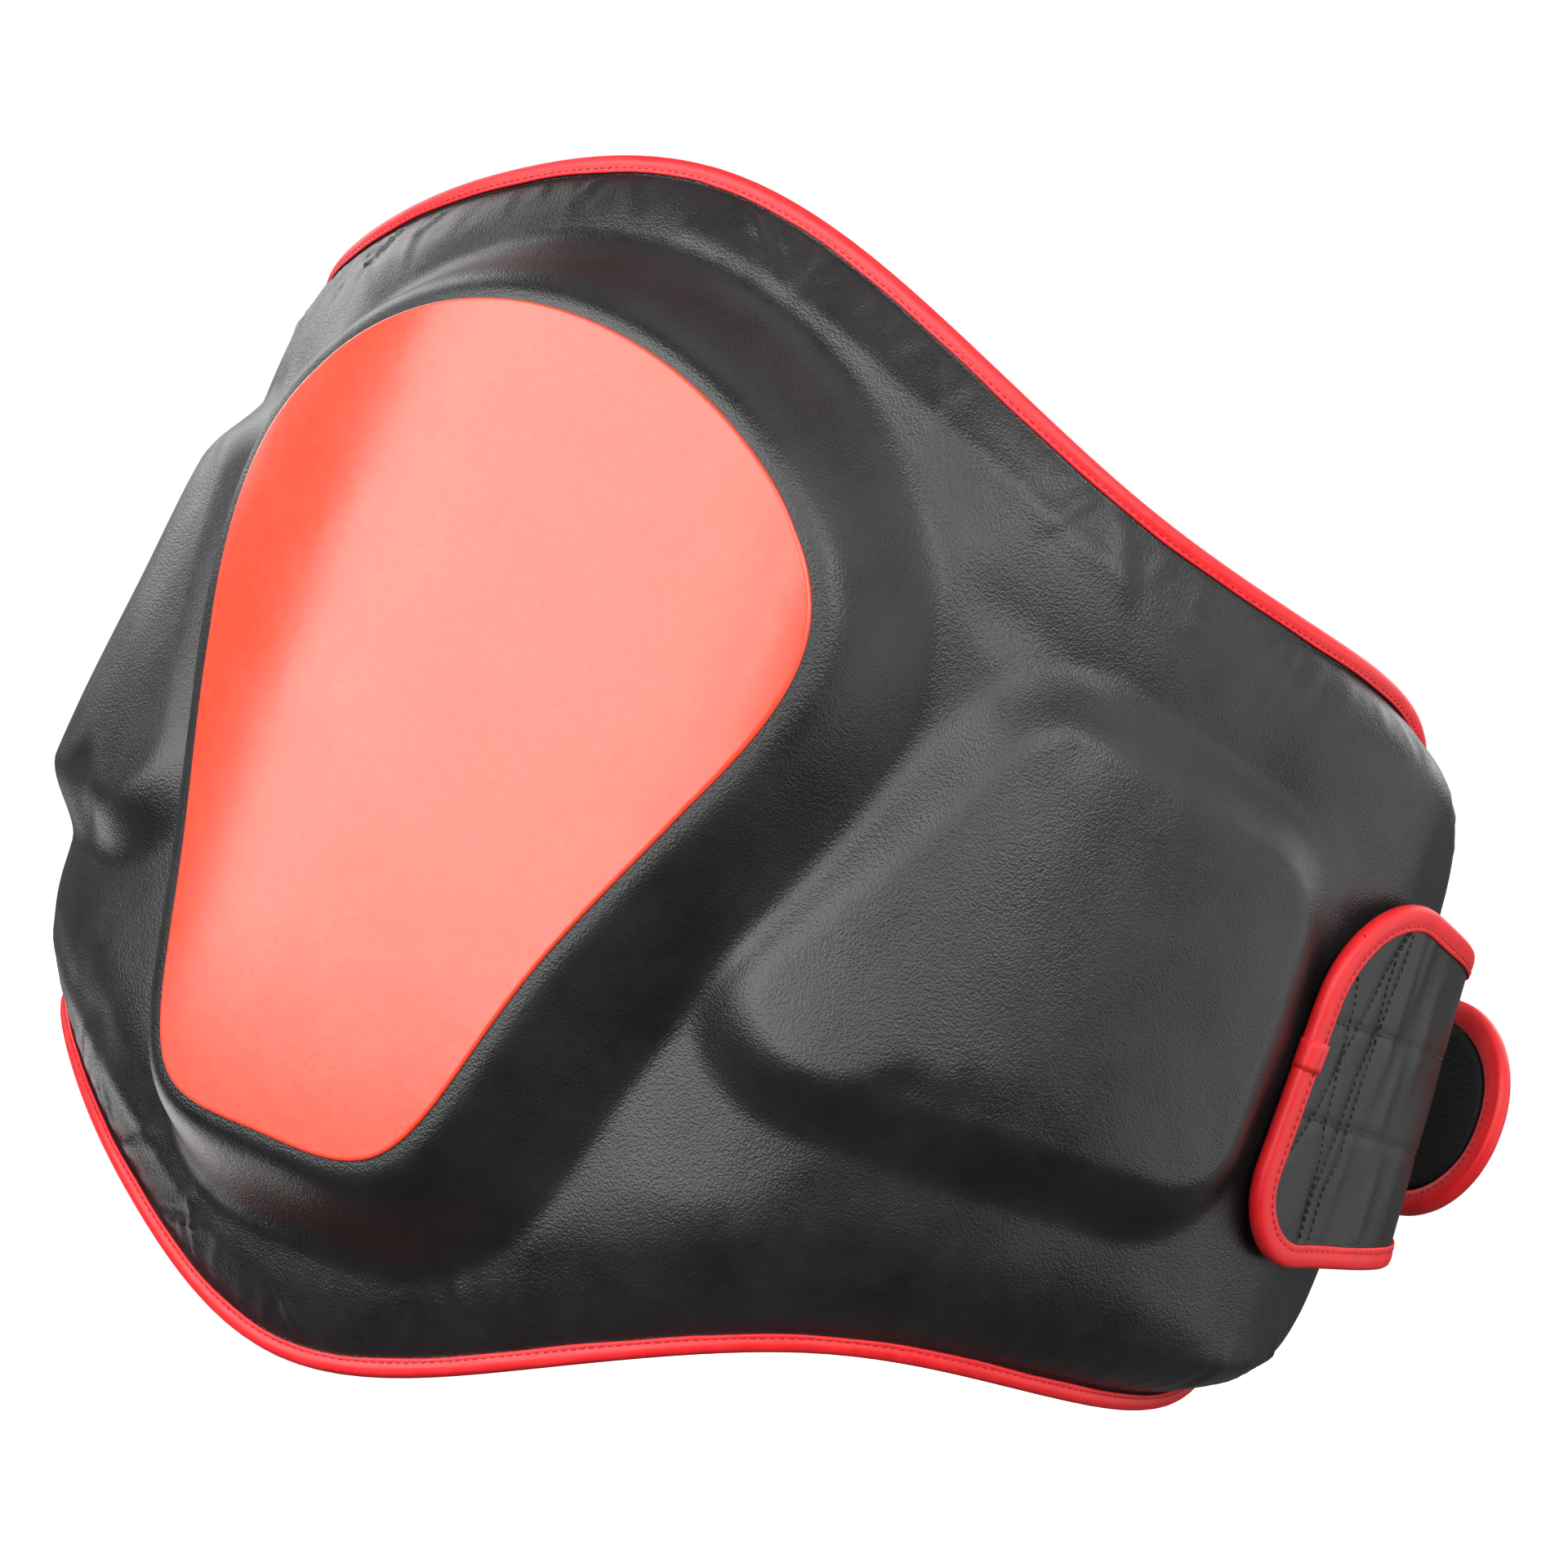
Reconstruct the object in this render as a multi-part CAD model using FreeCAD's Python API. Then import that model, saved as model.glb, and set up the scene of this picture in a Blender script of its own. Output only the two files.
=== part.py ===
import FreeCAD, Part
import functools
import math
import os

# Trainer belly pad, worn round the waist.  Millimetres, +Z up, pad front towards -Y.
# The origin is the middle of the lining's inner face, where it rests on the wearer.
#
# Every layer of the pad is written in pad coordinates: s runs along the lining from the
# middle of the pad to a wing tip, z is the height, and h is the distance out from the lining.
# The flap and the strap use the same coordinates along a path of their own.

Vector = FreeCAD.Vector
Vector2 = FreeCAD.Base.Vector2d

# ---- plan shape of the lining: a shallow centre arc that runs into a tighter arc each side
CENTRE_RADIUS = 394.5
CENTRE_HALF_ARC = 87.7
SIDE_RADIUS = 164.9

# ---- outline of the pad, right half from top to bottom, as (s, z)
WING_TIP = 381.0
PAD_OUTLINE = [
    (0, 206.2), (83.8, 186.3), (171.5, 149.8), (259, 131.7), (358, 97.7), (WING_TIP, -31.6),
    (356.8, -110.4), (259, -130.8), (171.5, -140.5), (83.8, -179), (0, -206.2),
]
# outline of the glossy centre panel, right half from top to bottom
PANEL_OUTLINE = [
    (0, 142.9), (57.1, 127.6), (100.1, 70.7), (63.2, -57.8), (37.2, -130.6), (0, -136.6),
]
# core of the right wing's block; its outline stands BLOCK_CORNER outside this polygon
BLOCK_CORE = [(180, 52), (241, 38), (238, -33), (137, -36)]
BLOCK_CORNER = 18.0

# ---- heights of the front, measured from the lining
FLANGE_WIDTH = 8.0
FLANGE_HEIGHT = 3.0
# padded body: height in the middle, then on the wings and at their tips as (low, high) edge
CENTRE_BODY = 16.0
WING_BODY = (20.0, 11.0)
TIP_BODY = (28.0, 26.0)
WING_FROM, WING_REACH = 80.0, 100.0
TIP_FROM, TIP_REACH = 230.0, 90.0
UPPER_FROM, UPPER_REACH = -60.0, 120.0
# width of the body's rounded edge
WING_EDGE_ROUND = 45.0
TIP_EDGE_ROUND = 23.5
EDGE_POWER = 2.2
PANEL_HEIGHT = 63.0
PANEL_FALL_S = 0.001417
PANEL_FALL_Z = 0.0003012
PANEL_PEAK_Z = -17.6
DOME_SHOULDER = 3.0
DOME_WALL = 32.0
# top of a wing block: a leaning plane through one height
BLOCK_HEIGHT = 30.0
BLOCK_MIDDLE = 200.0
BLOCK_LEAN_OUT = 0.08
BLOCK_LEAN_UP = -0.10
BLOCK_WALL = 26.0

# ---- layers of the pad
SKIN = 1.4
LINING = 1.0
GAP = 0.7
COMFORT_FOAM = (1.7, 4.1)
MOULDED_FOAM = 12.4
COMFORT_INSET = 19.0
MOULDED_INSET = 24.0
CORE_MARGIN = 10.0
PANEL_SKIN = 1.2
PANEL_GAP = 0.5

# ---- binding tape, folded over every edge
TAPE = 0.8
TAPE_WIDTH = 7.4
TAPE_GAP = 0.25
PAD_TAPE_GAP = 0.5

# ---- closure flap on the right wing and strap on the left wing
STRAP_Z = -1.5
LEATHER = 1.2
WEB = (1.3, 2.7)
STRAP_THICK = 4.0
PATCH = 0.9
PATCH_GAP = 0.1
ROOT_OVERLAP = 30.0
ROOT_CLEARANCE = 2.6
SPLIT = 0.2
HINGE_CLEARANCE = 0.05
FLAP_ROOT_HALF = 53.0
FLAP_TIP_HALF = 69.0
FLAP_TOP_CORNER = 40.0
FLAP_LOW_CORNER = 29.0
FLAP_PATCH_INSET = 14.0
WEB_INSET = 4.0
STRAP_HALF = 38.0
STRAP_TIP_RADIUS = 37.0
HOOK_INSET = 8.5
ELASTIC_HALF_LENGTH = 60.0
ELASTIC_LAP = 12.0
STRAP_BACK_Y = 335.0

# route of the flap in plan, from the wing tip round its fold to the free end
FLAP_ROUTE = [
    (199, 248), (203, 255), (212, 257), (225, 249.5), (236.5, 235.5), (243.5, 218), (246, 197),
    (245.4, 171), (242.8, 151), (239.6, 135.5),
]
FLAP_HINGE_AT = FLAP_ROUTE[4]
# route of the strap in plan, from the left wing tip round the back to the free end
STRAP_ROUTE = [
    (-190, 264), (-168, 292), (-135, 316), (-97, 330.5), (-60, STRAP_BACK_Y),
    (-20, STRAP_BACK_Y), (20, STRAP_BACK_Y), (60, STRAP_BACK_Y), (97, 330.5), (140, 316),
    (190, 296), (263.3, 266.8),
]
STRAP_HINGE_PAST_TIP = 8.0
# length of a route past the free end, where the tape wraps round
ROUTE_SPARE = 2.0

# ---- sampling of the free-form surfaces
OUTLINE_POINTS = 120
PANEL_POINTS = 80
DOMAIN_MARGIN = 4.0
DOMAIN_HALF_HEIGHT = 212.0
PAD_STEP = 8.0
SEAM = 0.01
STRAP_STEP = 1.5
STRAP_DOMAIN = 80.0
EDGE_STEP = 4.0
FOLD_STEP = 1.5
CORNER_POINTS = 12
BLOCK_POINTS = 60
BLOCK_SKIRT = 6.0


# ---- curves and distances -------------------------------------------------------------

def clamp(value, low, high):
    return max(low, min(high, value))


def ease(t):
    t = clamp(t, 0.0, 1.0)
    return t * t * (3.0 - 2.0 * t)


def pacing(points, closed):
    """Curve parameters for points, spread so that the curve through them stays fair."""
    ends = points[1:] + points[:1] if closed else points[1:]
    params = [0.0]
    for start, finish in zip(points, ends):
        params.append(params[-1] + math.sqrt(math.dist(start, finish)))
    return params


def closed_loop(half, count):
    """Points round the smooth closed curve through a right half and its mirror image."""
    points = half + [(-s, z) for s, z in reversed(half[1:-1])]
    params = pacing(points, True)
    curve = Part.Geom2d.BSplineCurve2d()
    curve.interpolate(
        Points=[Vector2(s, z) for s, z in points], PeriodicFlag=True, Parameters=params)
    step = params[-1] / count
    samples = [curve.value(i * step) for i in range(count)]
    return [(p.x, p.y) for p in samples]


def distance_inside(s, z, loop):
    """Distance from a point to a closed polygon, positive inside."""
    best = float("inf")
    inside = False
    for (s0, z0), (s1, z1) in zip(loop, loop[1:] + loop[:1]):
        ds, dz = s1 - s0, z1 - z0
        t = clamp(((s - s0) * ds + (z - z0) * dz) / (ds * ds + dz * dz), 0.0, 1.0)
        best = min(best, math.hypot(s - s0 - t * ds, z - z0 - t * dz))
        if (z0 > z) != (z1 > z) and s < s0 + (z - z0) / dz * ds:
            inside = not inside
    return best if inside else -best


def offset_loop(points, distance, closed=True):
    """Points of a curve moved to its right-hand side, which is inwards on a clockwise loop.

    The ends of an open curve keep their place along the strap, so that it stays cut square.
    """
    moved = []
    last = len(points) - 1
    for i, (s, z) in enumerate(points):
        before = points[i - 1] if closed or i > 0 else points[0]
        after = points[(i + 1) % len(points)] if closed or i < last else points[last]
        ds, dz = after[0] - before[0], after[1] - before[1]
        size = math.hypot(ds, dz)
        is_end = not closed and i in (0, last)
        moved.append((s if is_end else s + distance * dz / size, z - distance * ds / size))
    return moved


PAD_LOOP = closed_loop(PAD_OUTLINE, OUTLINE_POINTS)
PANEL_LOOP = closed_loop(PANEL_OUTLINE, PANEL_POINTS)


# ---- relief of the pad's front --------------------------------------------------------

def blend(start, finish, share):
    return start + (finish - start) * share


def body_height(s, z):
    """Height of the padded body, from the sewn flange up over the rounded edge."""
    upper = ease((z - UPPER_FROM) / UPPER_REACH)
    outer = ease((s - TIP_FROM) / TIP_REACH)
    inner = blend(CENTRE_BODY, blend(*WING_BODY, upper), ease((s - WING_FROM) / WING_REACH))
    body = blend(inner, blend(*TIP_BODY, upper), outer)
    width = blend(WING_EDGE_ROUND, TIP_EDGE_ROUND, outer)
    t = clamp((distance_inside(s, z, PAD_LOOP) - FLANGE_WIDTH) / width, 0.0, 1.0)
    return blend(FLANGE_HEIGHT, body, 1.0 - (1.0 - t) ** EDGE_POWER)


def dome_height(s, z):
    """Top of the centre dome and the share of it that stands at a place.

    The wall starts a little outside the glossy panel.
    """
    outside = max(0.0, -distance_inside(s, z, PANEL_LOOP))
    top = PANEL_HEIGHT - PANEL_FALL_S * s * s - PANEL_FALL_Z * (z - PANEL_PEAK_Z) ** 2
    return top, 1.0 - ease((outside - DOME_SHOULDER) / DOME_WALL)


def block_height(s, z):
    """Top of the wing block and the share of it that stands at a place."""
    outside = max(0.0, -distance_inside(s, z, BLOCK_CORE) - BLOCK_CORNER)
    top = BLOCK_HEIGHT + BLOCK_LEAN_OUT * (s - BLOCK_MIDDLE) + BLOCK_LEAN_UP * z
    return top, 1.0 - ease(outside / BLOCK_WALL)


@functools.lru_cache(maxsize=None)
def half_front(s, z):
    body = body_height(s, z)
    raised = (dome_height(s, z), block_height(s, z))
    return body + sum(max(0.0, top - body) * share for top, share in raised)


def front(s, z):
    """Height of the cover's outer face."""
    return half_front(abs(round(s, 6)), round(z, 6))


def foam_back(s, z):
    """Height of the moulded foam's hollow back, which the core blocks fill."""
    return max(COMFORT_FOAM[1] + GAP, front(s, z) - SKIN - GAP - MOULDED_FOAM)


def core_top(s, z):
    return foam_back(s, z) - GAP


# ---- routes that layers follow --------------------------------------------------------

class PadRoute:
    """The lining's plan curve; h is measured outwards, away from the wearer."""

    def place(self, s, z, h):
        arc = min(abs(s), CENTRE_HALF_ARC) / CENTRE_RADIUS
        turn = arc + max(abs(s) - CENTRE_HALF_ARC, 0.0) / SIDE_RADIUS
        x = CENTRE_RADIUS * math.sin(arc) + SIDE_RADIUS * (math.sin(turn) - math.sin(arc))
        y = CENTRE_RADIUS * (1 - math.cos(arc)) + SIDE_RADIUS * (math.cos(arc) - math.cos(turn))
        side = math.copysign(1.0, s)
        return Vector(side * (x + h * math.sin(turn)), y - h * math.cos(turn), z)


class SplineRoute:
    """A smooth plan curve through points; h is measured to its left-hand side."""

    def __init__(self, points):
        self.curve = Part.BSplineCurve()
        self.curve.interpolate([Vector(x, y, 0) for x, y in points])
        self.length = self.curve.length()

    def distance_to(self, point):
        param = self.curve.parameter(Vector(point[0], point[1], 0))
        return self.curve.length(self.curve.FirstParameter, param)

    def place(self, s, z, h):
        param = self.curve.parameterAtDistance(clamp(s, 0.0, self.length))
        point = self.curve.value(param)
        along = self.curve.tangent(param)
        along = along[0] if isinstance(along, (list, tuple)) else along
        return Vector(point.x - h * along.y, point.y + h * along.x, z)


PAD = PadRoute()


def root_points(side):
    """Plan points along the lining's inner face at a wing tip, where a strap is sewn on."""
    steps = (WING_TIP - ROOT_OVERLAP, WING_TIP - ROOT_OVERLAP / 2, WING_TIP + 2.0)
    points = [PAD.place(side * s, 0.0, -ROOT_CLEARANCE) for s in steps]
    return [(p.x, p.y) for p in points]


PAD_TIP_LEFT = root_points(-1)[-1]
FLAP = SplineRoute(root_points(1) + FLAP_ROUTE)
STRAP = SplineRoute(root_points(-1) + STRAP_ROUTE)


# ---- solids ---------------------------------------------------------------------------

def knots(low, high, step):
    """Clamped cubic knots over a span, with the places where its poles belong."""
    spans = max(1, round((high - low) / step))
    values = [low + (high - low) * i / spans for i in range(spans + 1)]
    mults = [4] + [1] * (spans - 1) + [4]
    flat = [low] * 3 + values + [high] * 3
    places = [sum(flat[i + 1:i + 4]) / 3 for i in range(spans + 3)]
    return values, mults, places


def layer_surface(route, height, s_span, z_span, step, z_step):
    """Free-form surface at a height over a rectangle of (s, z), which are its parameters."""
    s_values, s_mults, s_places = knots(*s_span, step)
    z_values, z_mults, z_places = knots(*z_span, z_step)
    poles = [[route.place(s, z, height(s, z)) for z in z_places] for s in s_places]
    surface = Part.BSplineSurface()
    surface.buildFromPolesMultsKnots(
        poles, s_mults, z_mults, s_values, z_values, False, False, 3, 3)
    return surface


def steps(start, finish, step):
    """Evenly spaced points of a straight line in (s, z), its ends included."""
    (s0, z0), (s1, z1) = start, finish
    count = max(2, math.ceil(math.dist(start, finish) / step))
    return [(blend(s0, s1, i / count), blend(z0, z1, i / count)) for i in range(count + 1)]


def smooth_edge(places, params, closed):
    curve = Part.BSplineCurve()
    curve.interpolate(Points=places, PeriodicFlag=closed, Parameters=params)
    return curve.toShape()


def face_on(surface, rim):
    """The part of a surface inside a rim of edges that lie on it."""
    face = Part.Face(surface, Part.Wire(rim))
    face.validate()
    return face


def solid_from(faces):
    shell = Part.Shell(faces)
    shell.sewShape(SEAM)
    solid = Part.Solid(shell)
    if solid.Volume < 0:
        solid.reverse()
    return solid


def layer_solid(route, low, high, lines, spans, closed=False):
    """Solid between two heights, inside an outline made of lines of points (s, z)."""
    surfaces = [layer_surface(route, height, *spans) for height in (low, high)]
    rims = [[smooth_edge([surface.value(*point) for point in line], pacing(line, closed), closed)
             for line in lines] for surface in surfaces]
    faces = [face_on(surface, rim) for surface, rim in zip(surfaces, rims)]
    for bottom, top in zip(*rims):
        faces.extend(Part.makeRuledSurface(bottom, top, 1).Faces)
    return solid_from(faces)


def tape_solid(route, edge, closed, section):
    """Tape folded over an edge: section lists (distance in from the edge, height)."""
    rims = []
    for inset, height in section:
        places = [route.place(s, z, height) for s, z in offset_loop(edge, inset, closed)]
        rims.append(smooth_edge(places, pacing(edge, closed), closed))
    faces = []
    for one, two in zip(rims, rims[1:] + rims[:1]):
        faces.extend(Part.makeRuledSurface(one, two, 1).Faces)
    if not closed:
        for end in (0, -1):
            corners = [rim.Vertexes[end].Point for rim in rims]
            faces.append(Part.Face(Part.makePolygon(corners + corners[:1])))
    return solid_from(faces)


def tape_section(low, high, gap=TAPE_GAP):
    """Folded tape round an edge that fills the heights from low to high."""
    near = -gap
    far = near - TAPE
    inner_low, inner_high = low - gap, high + gap
    outer_low, outer_high = inner_low - TAPE, inner_high + TAPE
    return [
        (far, outer_low), (far, outer_high), (TAPE_WIDTH, outer_high), (TAPE_WIDTH, inner_high),
        (near, inner_high), (near, inner_low), (TAPE_WIDTH, inner_low), (TAPE_WIDTH, outer_low),
    ]


# ---- the pad --------------------------------------------------------------------------

DOMAIN_REACH = WING_TIP + DOMAIN_MARGIN
PAD_DOMAIN = ((-DOMAIN_REACH, DOMAIN_REACH), (-DOMAIN_HALF_HEIGHT, DOMAIN_HALF_HEIGHT))
RELIEF_SPANS = PAD_DOMAIN + (PAD_STEP, PAD_STEP)
FLAT_SPANS = PAD_DOMAIN + (PAD_STEP, 2 * DOMAIN_HALF_HEIGHT)


def pad_layer(low, high, loop, spans=RELIEF_SPANS):
    return layer_solid(PAD, low, high, [loop], spans, True)


def even_layer(heights, inset):
    """A layer of even thickness, set in from the pad's outline."""
    return pad_layer(flat(heights[0]), flat(heights[1]), offset_loop(PAD_LOOP, inset), FLAT_SPANS)


def flat(height):
    return lambda s, z: height


def front_less(depth):
    return lambda s, z: front(s, z) - depth


def resample(loop, count):
    """Evenly spaced points round a closed polygon."""
    ends = loop[1:] + loop[:1]
    lengths = [math.dist(p, q) for p, q in zip(loop, ends)]
    step = sum(lengths) / count
    points = []
    ahead = 0.0
    for (s0, z0), (s1, z1), length in zip(loop, ends, lengths):
        while ahead < length:
            t = ahead / length
            points.append((s0 + (s1 - s0) * t, z0 + (z1 - z0) * t))
            ahead += step
        ahead -= length
    return points[:count]


def block_loop(side, margin):
    """Outline of a wing block: its core polygon grown by a margin, with round corners."""
    loop = []
    corners = BLOCK_CORE
    for i, (s, z) in enumerate(corners):
        before, after = corners[i - 1], corners[(i + 1) % len(corners)]
        start = math.atan2(s - before[0], before[1] - z)
        turn = (start - math.atan2(after[0] - s, z - after[1])) % (2 * math.pi)
        for k in range(CORNER_POINTS + 1):
            angle = start - turn * k / CORNER_POINTS
            loop.append((side * (s + margin * math.cos(angle)), z + margin * math.sin(angle)))
    return resample(loop, BLOCK_POINTS)


def pad_parts():
    inner = flat(COMFORT_FOAM[1] + GAP)
    block = BLOCK_CORNER + BLOCK_SKIRT
    return {
        "back_liner": even_layer((0.0, LINING), 0.0),
        "comfort_foam": even_layer(COMFORT_FOAM, COMFORT_INSET),
        "moulded_foam": pad_layer(
            foam_back, front_less(SKIN + GAP), offset_loop(PAD_LOOP, MOULDED_INSET)),
        "centre_core": pad_layer(inner, core_top, offset_loop(PANEL_LOOP, -CORE_MARGIN)),
        "right_wing_core": pad_layer(inner, core_top, block_loop(1, block)),
        "left_wing_core": pad_layer(inner, core_top, block_loop(-1, block)),
        "front_cover": pad_layer(front_less(SKIN), front, PAD_LOOP),
        "centre_panel": pad_layer(
            front_less(-PANEL_GAP), front_less(-PANEL_GAP - PANEL_SKIN), PANEL_LOOP),
        "edge_binding": tape_solid(
            PAD, PAD_LOOP, True, tape_section(0.0, FLANGE_HEIGHT, PAD_TAPE_GAP)),
    }


# ---- flap and strap -------------------------------------------------------------------

def strap_spans(start, finish):
    return ((start, finish), (-STRAP_DOMAIN, STRAP_DOMAIN), STRAP_STEP, 2 * STRAP_DOMAIN)


def half_edge(start, finish, half_start, half_finish, corner):
    """Edge of a strap's free end from its root, round one corner, to the middle of its end."""
    slope = (half_finish - half_start) / (finish - start)
    lean = math.atan(slope)
    centre_s = finish - corner
    centre_z = half_start + (centre_s - start) * slope - corner / math.cos(lean)
    straight = centre_s - corner * math.sin(lean) - start
    count = max(2, round(straight / EDGE_STEP))
    top = [(start + straight * i / count, half_start + straight * slope * i / count)
           for i in range(count)]
    for k in range(CORNER_POINTS + 1):
        angle = (math.pi / 2 + lean) * (1 - k / CORNER_POINTS)
        top.append((centre_s + corner * math.cos(angle), centre_z + corner * math.sin(angle)))
    count = round(centre_z / EDGE_STEP)
    top += [(finish, centre_z * (1 - i / (count + 0.5))) for i in range(1, count + 1)]
    return top


def rounded_edge(start, finish, half_start, half_finish, corners):
    """Top, round end and bottom edge of a strap that widens towards its free end."""
    top, low = [half_edge(start, finish, half_start, half_finish, c) for c in corners]
    bottom = [(s, -z) for s, z in reversed(low)]
    return [(s, z + STRAP_Z) for s, z in top + bottom]


def round_ended(route, start, finish, edge, inset, heights):
    """One layer of a strap's free end, set in from its edge."""
    rim = offset_loop(edge, inset, closed=False) if inset else edge
    lines = [rim, steps(rim[-1], rim[0], EDGE_STEP)]
    return layer_solid(
        route, flat(heights[0]), flat(heights[1]), lines, strap_spans(start, finish))


def straight_band(route, start, finish, half, heights):
    """One layer of a strap of even width, cut square at both ends."""
    low, high = STRAP_Z - half, STRAP_Z + half
    corners = [(start, low), (start, high), (finish, high), (finish, low)]
    ends = zip(corners, corners[1:] + corners[:1])
    lines = [steps(start, finish, FOLD_STEP) for start, finish in ends]
    return layer_solid(
        route, flat(heights[0]), flat(heights[1]), lines, strap_spans(start, finish))


def edge_tapes(route, start, finish, half, section):
    """Tapes folded over the top and bottom edges of a strap of even width."""
    count = max(2, round((finish - start) / FOLD_STEP))
    run = [start + (finish - start) * i / count for i in range(count + 1)]
    top = [(s, STRAP_Z + half) for s in run]
    bottom = [(s, STRAP_Z - half) for s in reversed(run)]
    return Part.makeCompound(
        [tape_solid(route, edge, False, section) for edge in (top, bottom)])


def flap_parts():
    """The flap's layers stand on the left of its route: patch, back, web, then face."""
    split = FLAP.distance_to(FLAP_HINGE_AT)
    back, face = (0.0, LEATHER), (STRAP_THICK - LEATHER, STRAP_THICK)
    patch = (-PATCH_GAP - PATCH, -PATCH_GAP)
    section = tape_section(0.0, STRAP_THICK)
    root, start, end = split - SPLIT, split + SPLIT, FLAP.length - ROUTE_SPARE
    corners = (FLAP_TOP_CORNER, FLAP_LOW_CORNER)
    edge = rounded_edge(start, end, FLAP_ROOT_HALF, FLAP_TIP_HALF, corners)
    web_half = FLAP_ROOT_HALF - WEB_INSET

    def layer(inset, heights):
        return round_ended(FLAP, start, end, edge, inset, heights)

    return {
        "flap_root_back": straight_band(FLAP, 0, root, FLAP_ROOT_HALF, back),
        "flap_root_web": straight_band(FLAP, 0, root, web_half, WEB),
        "flap_root_face": straight_band(FLAP, 0, root, FLAP_ROOT_HALF, face),
        "flap_root_binding": edge_tapes(FLAP, 0, root, FLAP_ROOT_HALF, section),
        "flap_back": layer(0, back),
        "flap_web": layer(WEB_INSET, WEB),
        "flap_face": layer(0, face),
        "flap_loop_patch": layer(FLAP_PATCH_INSET, patch),
        "flap_binding": tape_solid(FLAP, edge, False, section),
    }


def strap_parts():
    """The strap's layers stand on the right of its route: outer, web or elastic, inner, hook."""
    split = STRAP.distance_to(PAD_TIP_LEFT) + STRAP_HINGE_PAST_TIP
    outer, inner = (-LEATHER, 0.0), (-STRAP_THICK, LEATHER - STRAP_THICK)
    web = (-WEB[1], -WEB[0])
    hook = (-STRAP_THICK - PATCH_GAP - PATCH, -STRAP_THICK - PATCH_GAP)
    section = tape_section(-STRAP_THICK, 0.0)
    root, start, end = split - SPLIT, split + SPLIT, STRAP.length - ROUTE_SPARE
    near = STRAP.distance_to((-ELASTIC_HALF_LENGTH, STRAP_BACK_Y))
    far = STRAP.distance_to((ELASTIC_HALF_LENGTH, STRAP_BACK_Y))
    edge = rounded_edge(far, end, STRAP_HALF, STRAP_HALF, (STRAP_TIP_RADIUS,) * 2)
    web_half = STRAP_HALF - WEB_INSET

    def layer(inset, heights):
        return round_ended(STRAP, far, end, edge, inset, heights)

    web_start = far + ELASTIC_LAP + SPLIT
    web_corner = STRAP_TIP_RADIUS - WEB_INSET
    web_edge = rounded_edge(
        web_start, end - WEB_INSET, web_half, web_half, (web_corner,) * 2)
    return {
        "strap_root_outer": straight_band(STRAP, 0, root, STRAP_HALF, outer),
        "strap_root_web": straight_band(STRAP, 0, root, web_half, web),
        "strap_root_inner": straight_band(STRAP, 0, root, STRAP_HALF, inner),
        "strap_root_binding": edge_tapes(STRAP, 0, root, STRAP_HALF, section),
        "strap_base_outer": straight_band(STRAP, start, near, STRAP_HALF, outer),
        "strap_base_web": straight_band(
            STRAP, start, near - ELASTIC_LAP - SPLIT, web_half, web),
        "strap_base_inner": straight_band(STRAP, start, near, STRAP_HALF, inner),
        "strap_base_binding": edge_tapes(STRAP, start, near, STRAP_HALF, section),
        "strap_elastic": straight_band(
            STRAP, near - ELASTIC_LAP, far + ELASTIC_LAP, web_half, web),
        "strap_end_outer": layer(0, outer),
        "strap_end_web": round_ended(STRAP, web_start, end, web_edge, 0, web),
        "strap_end_inner": layer(0, inner),
        "strap_hook_patch": layer(HOOK_INSET, hook),
        "strap_end_binding": tape_solid(STRAP, edge, False, section),
    }


def report_hinges():
    """Hinge axes stand on the face that closes, so that the leather only opens there."""
    reach = TAPE + TAPE_GAP + HINGE_CLEARANCE
    flap = FLAP.place(FLAP.distance_to(FLAP_HINGE_AT), 0.0, STRAP_THICK + reach)
    at = STRAP.distance_to(PAD_TIP_LEFT) + STRAP_HINGE_PAST_TIP
    strap = STRAP.place(at, 0.0, reach)
    for name, point in (("flap hinge", flap), ("strap hinge", strap)):
        print(name, round(point.x, 2), round(point.y, 2))


def main():
    os.makedirs("parts", exist_ok=True)
    parts = {**pad_parts(), **flap_parts(), **strap_parts()}
    for name, shape in parts.items():
        print(name, shape.ShapeType, shape.isValid(), round(shape.Volume / 1000, 1), "cm3")
        shape.exportStep("parts/%s.step" % name)
    report_hinges()


main()
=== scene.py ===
import math

import bmesh
import bpy
import numpy as np
from mathutils import Matrix, Vector
from mathutils.geometry import delaunay_2d_cdt


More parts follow.
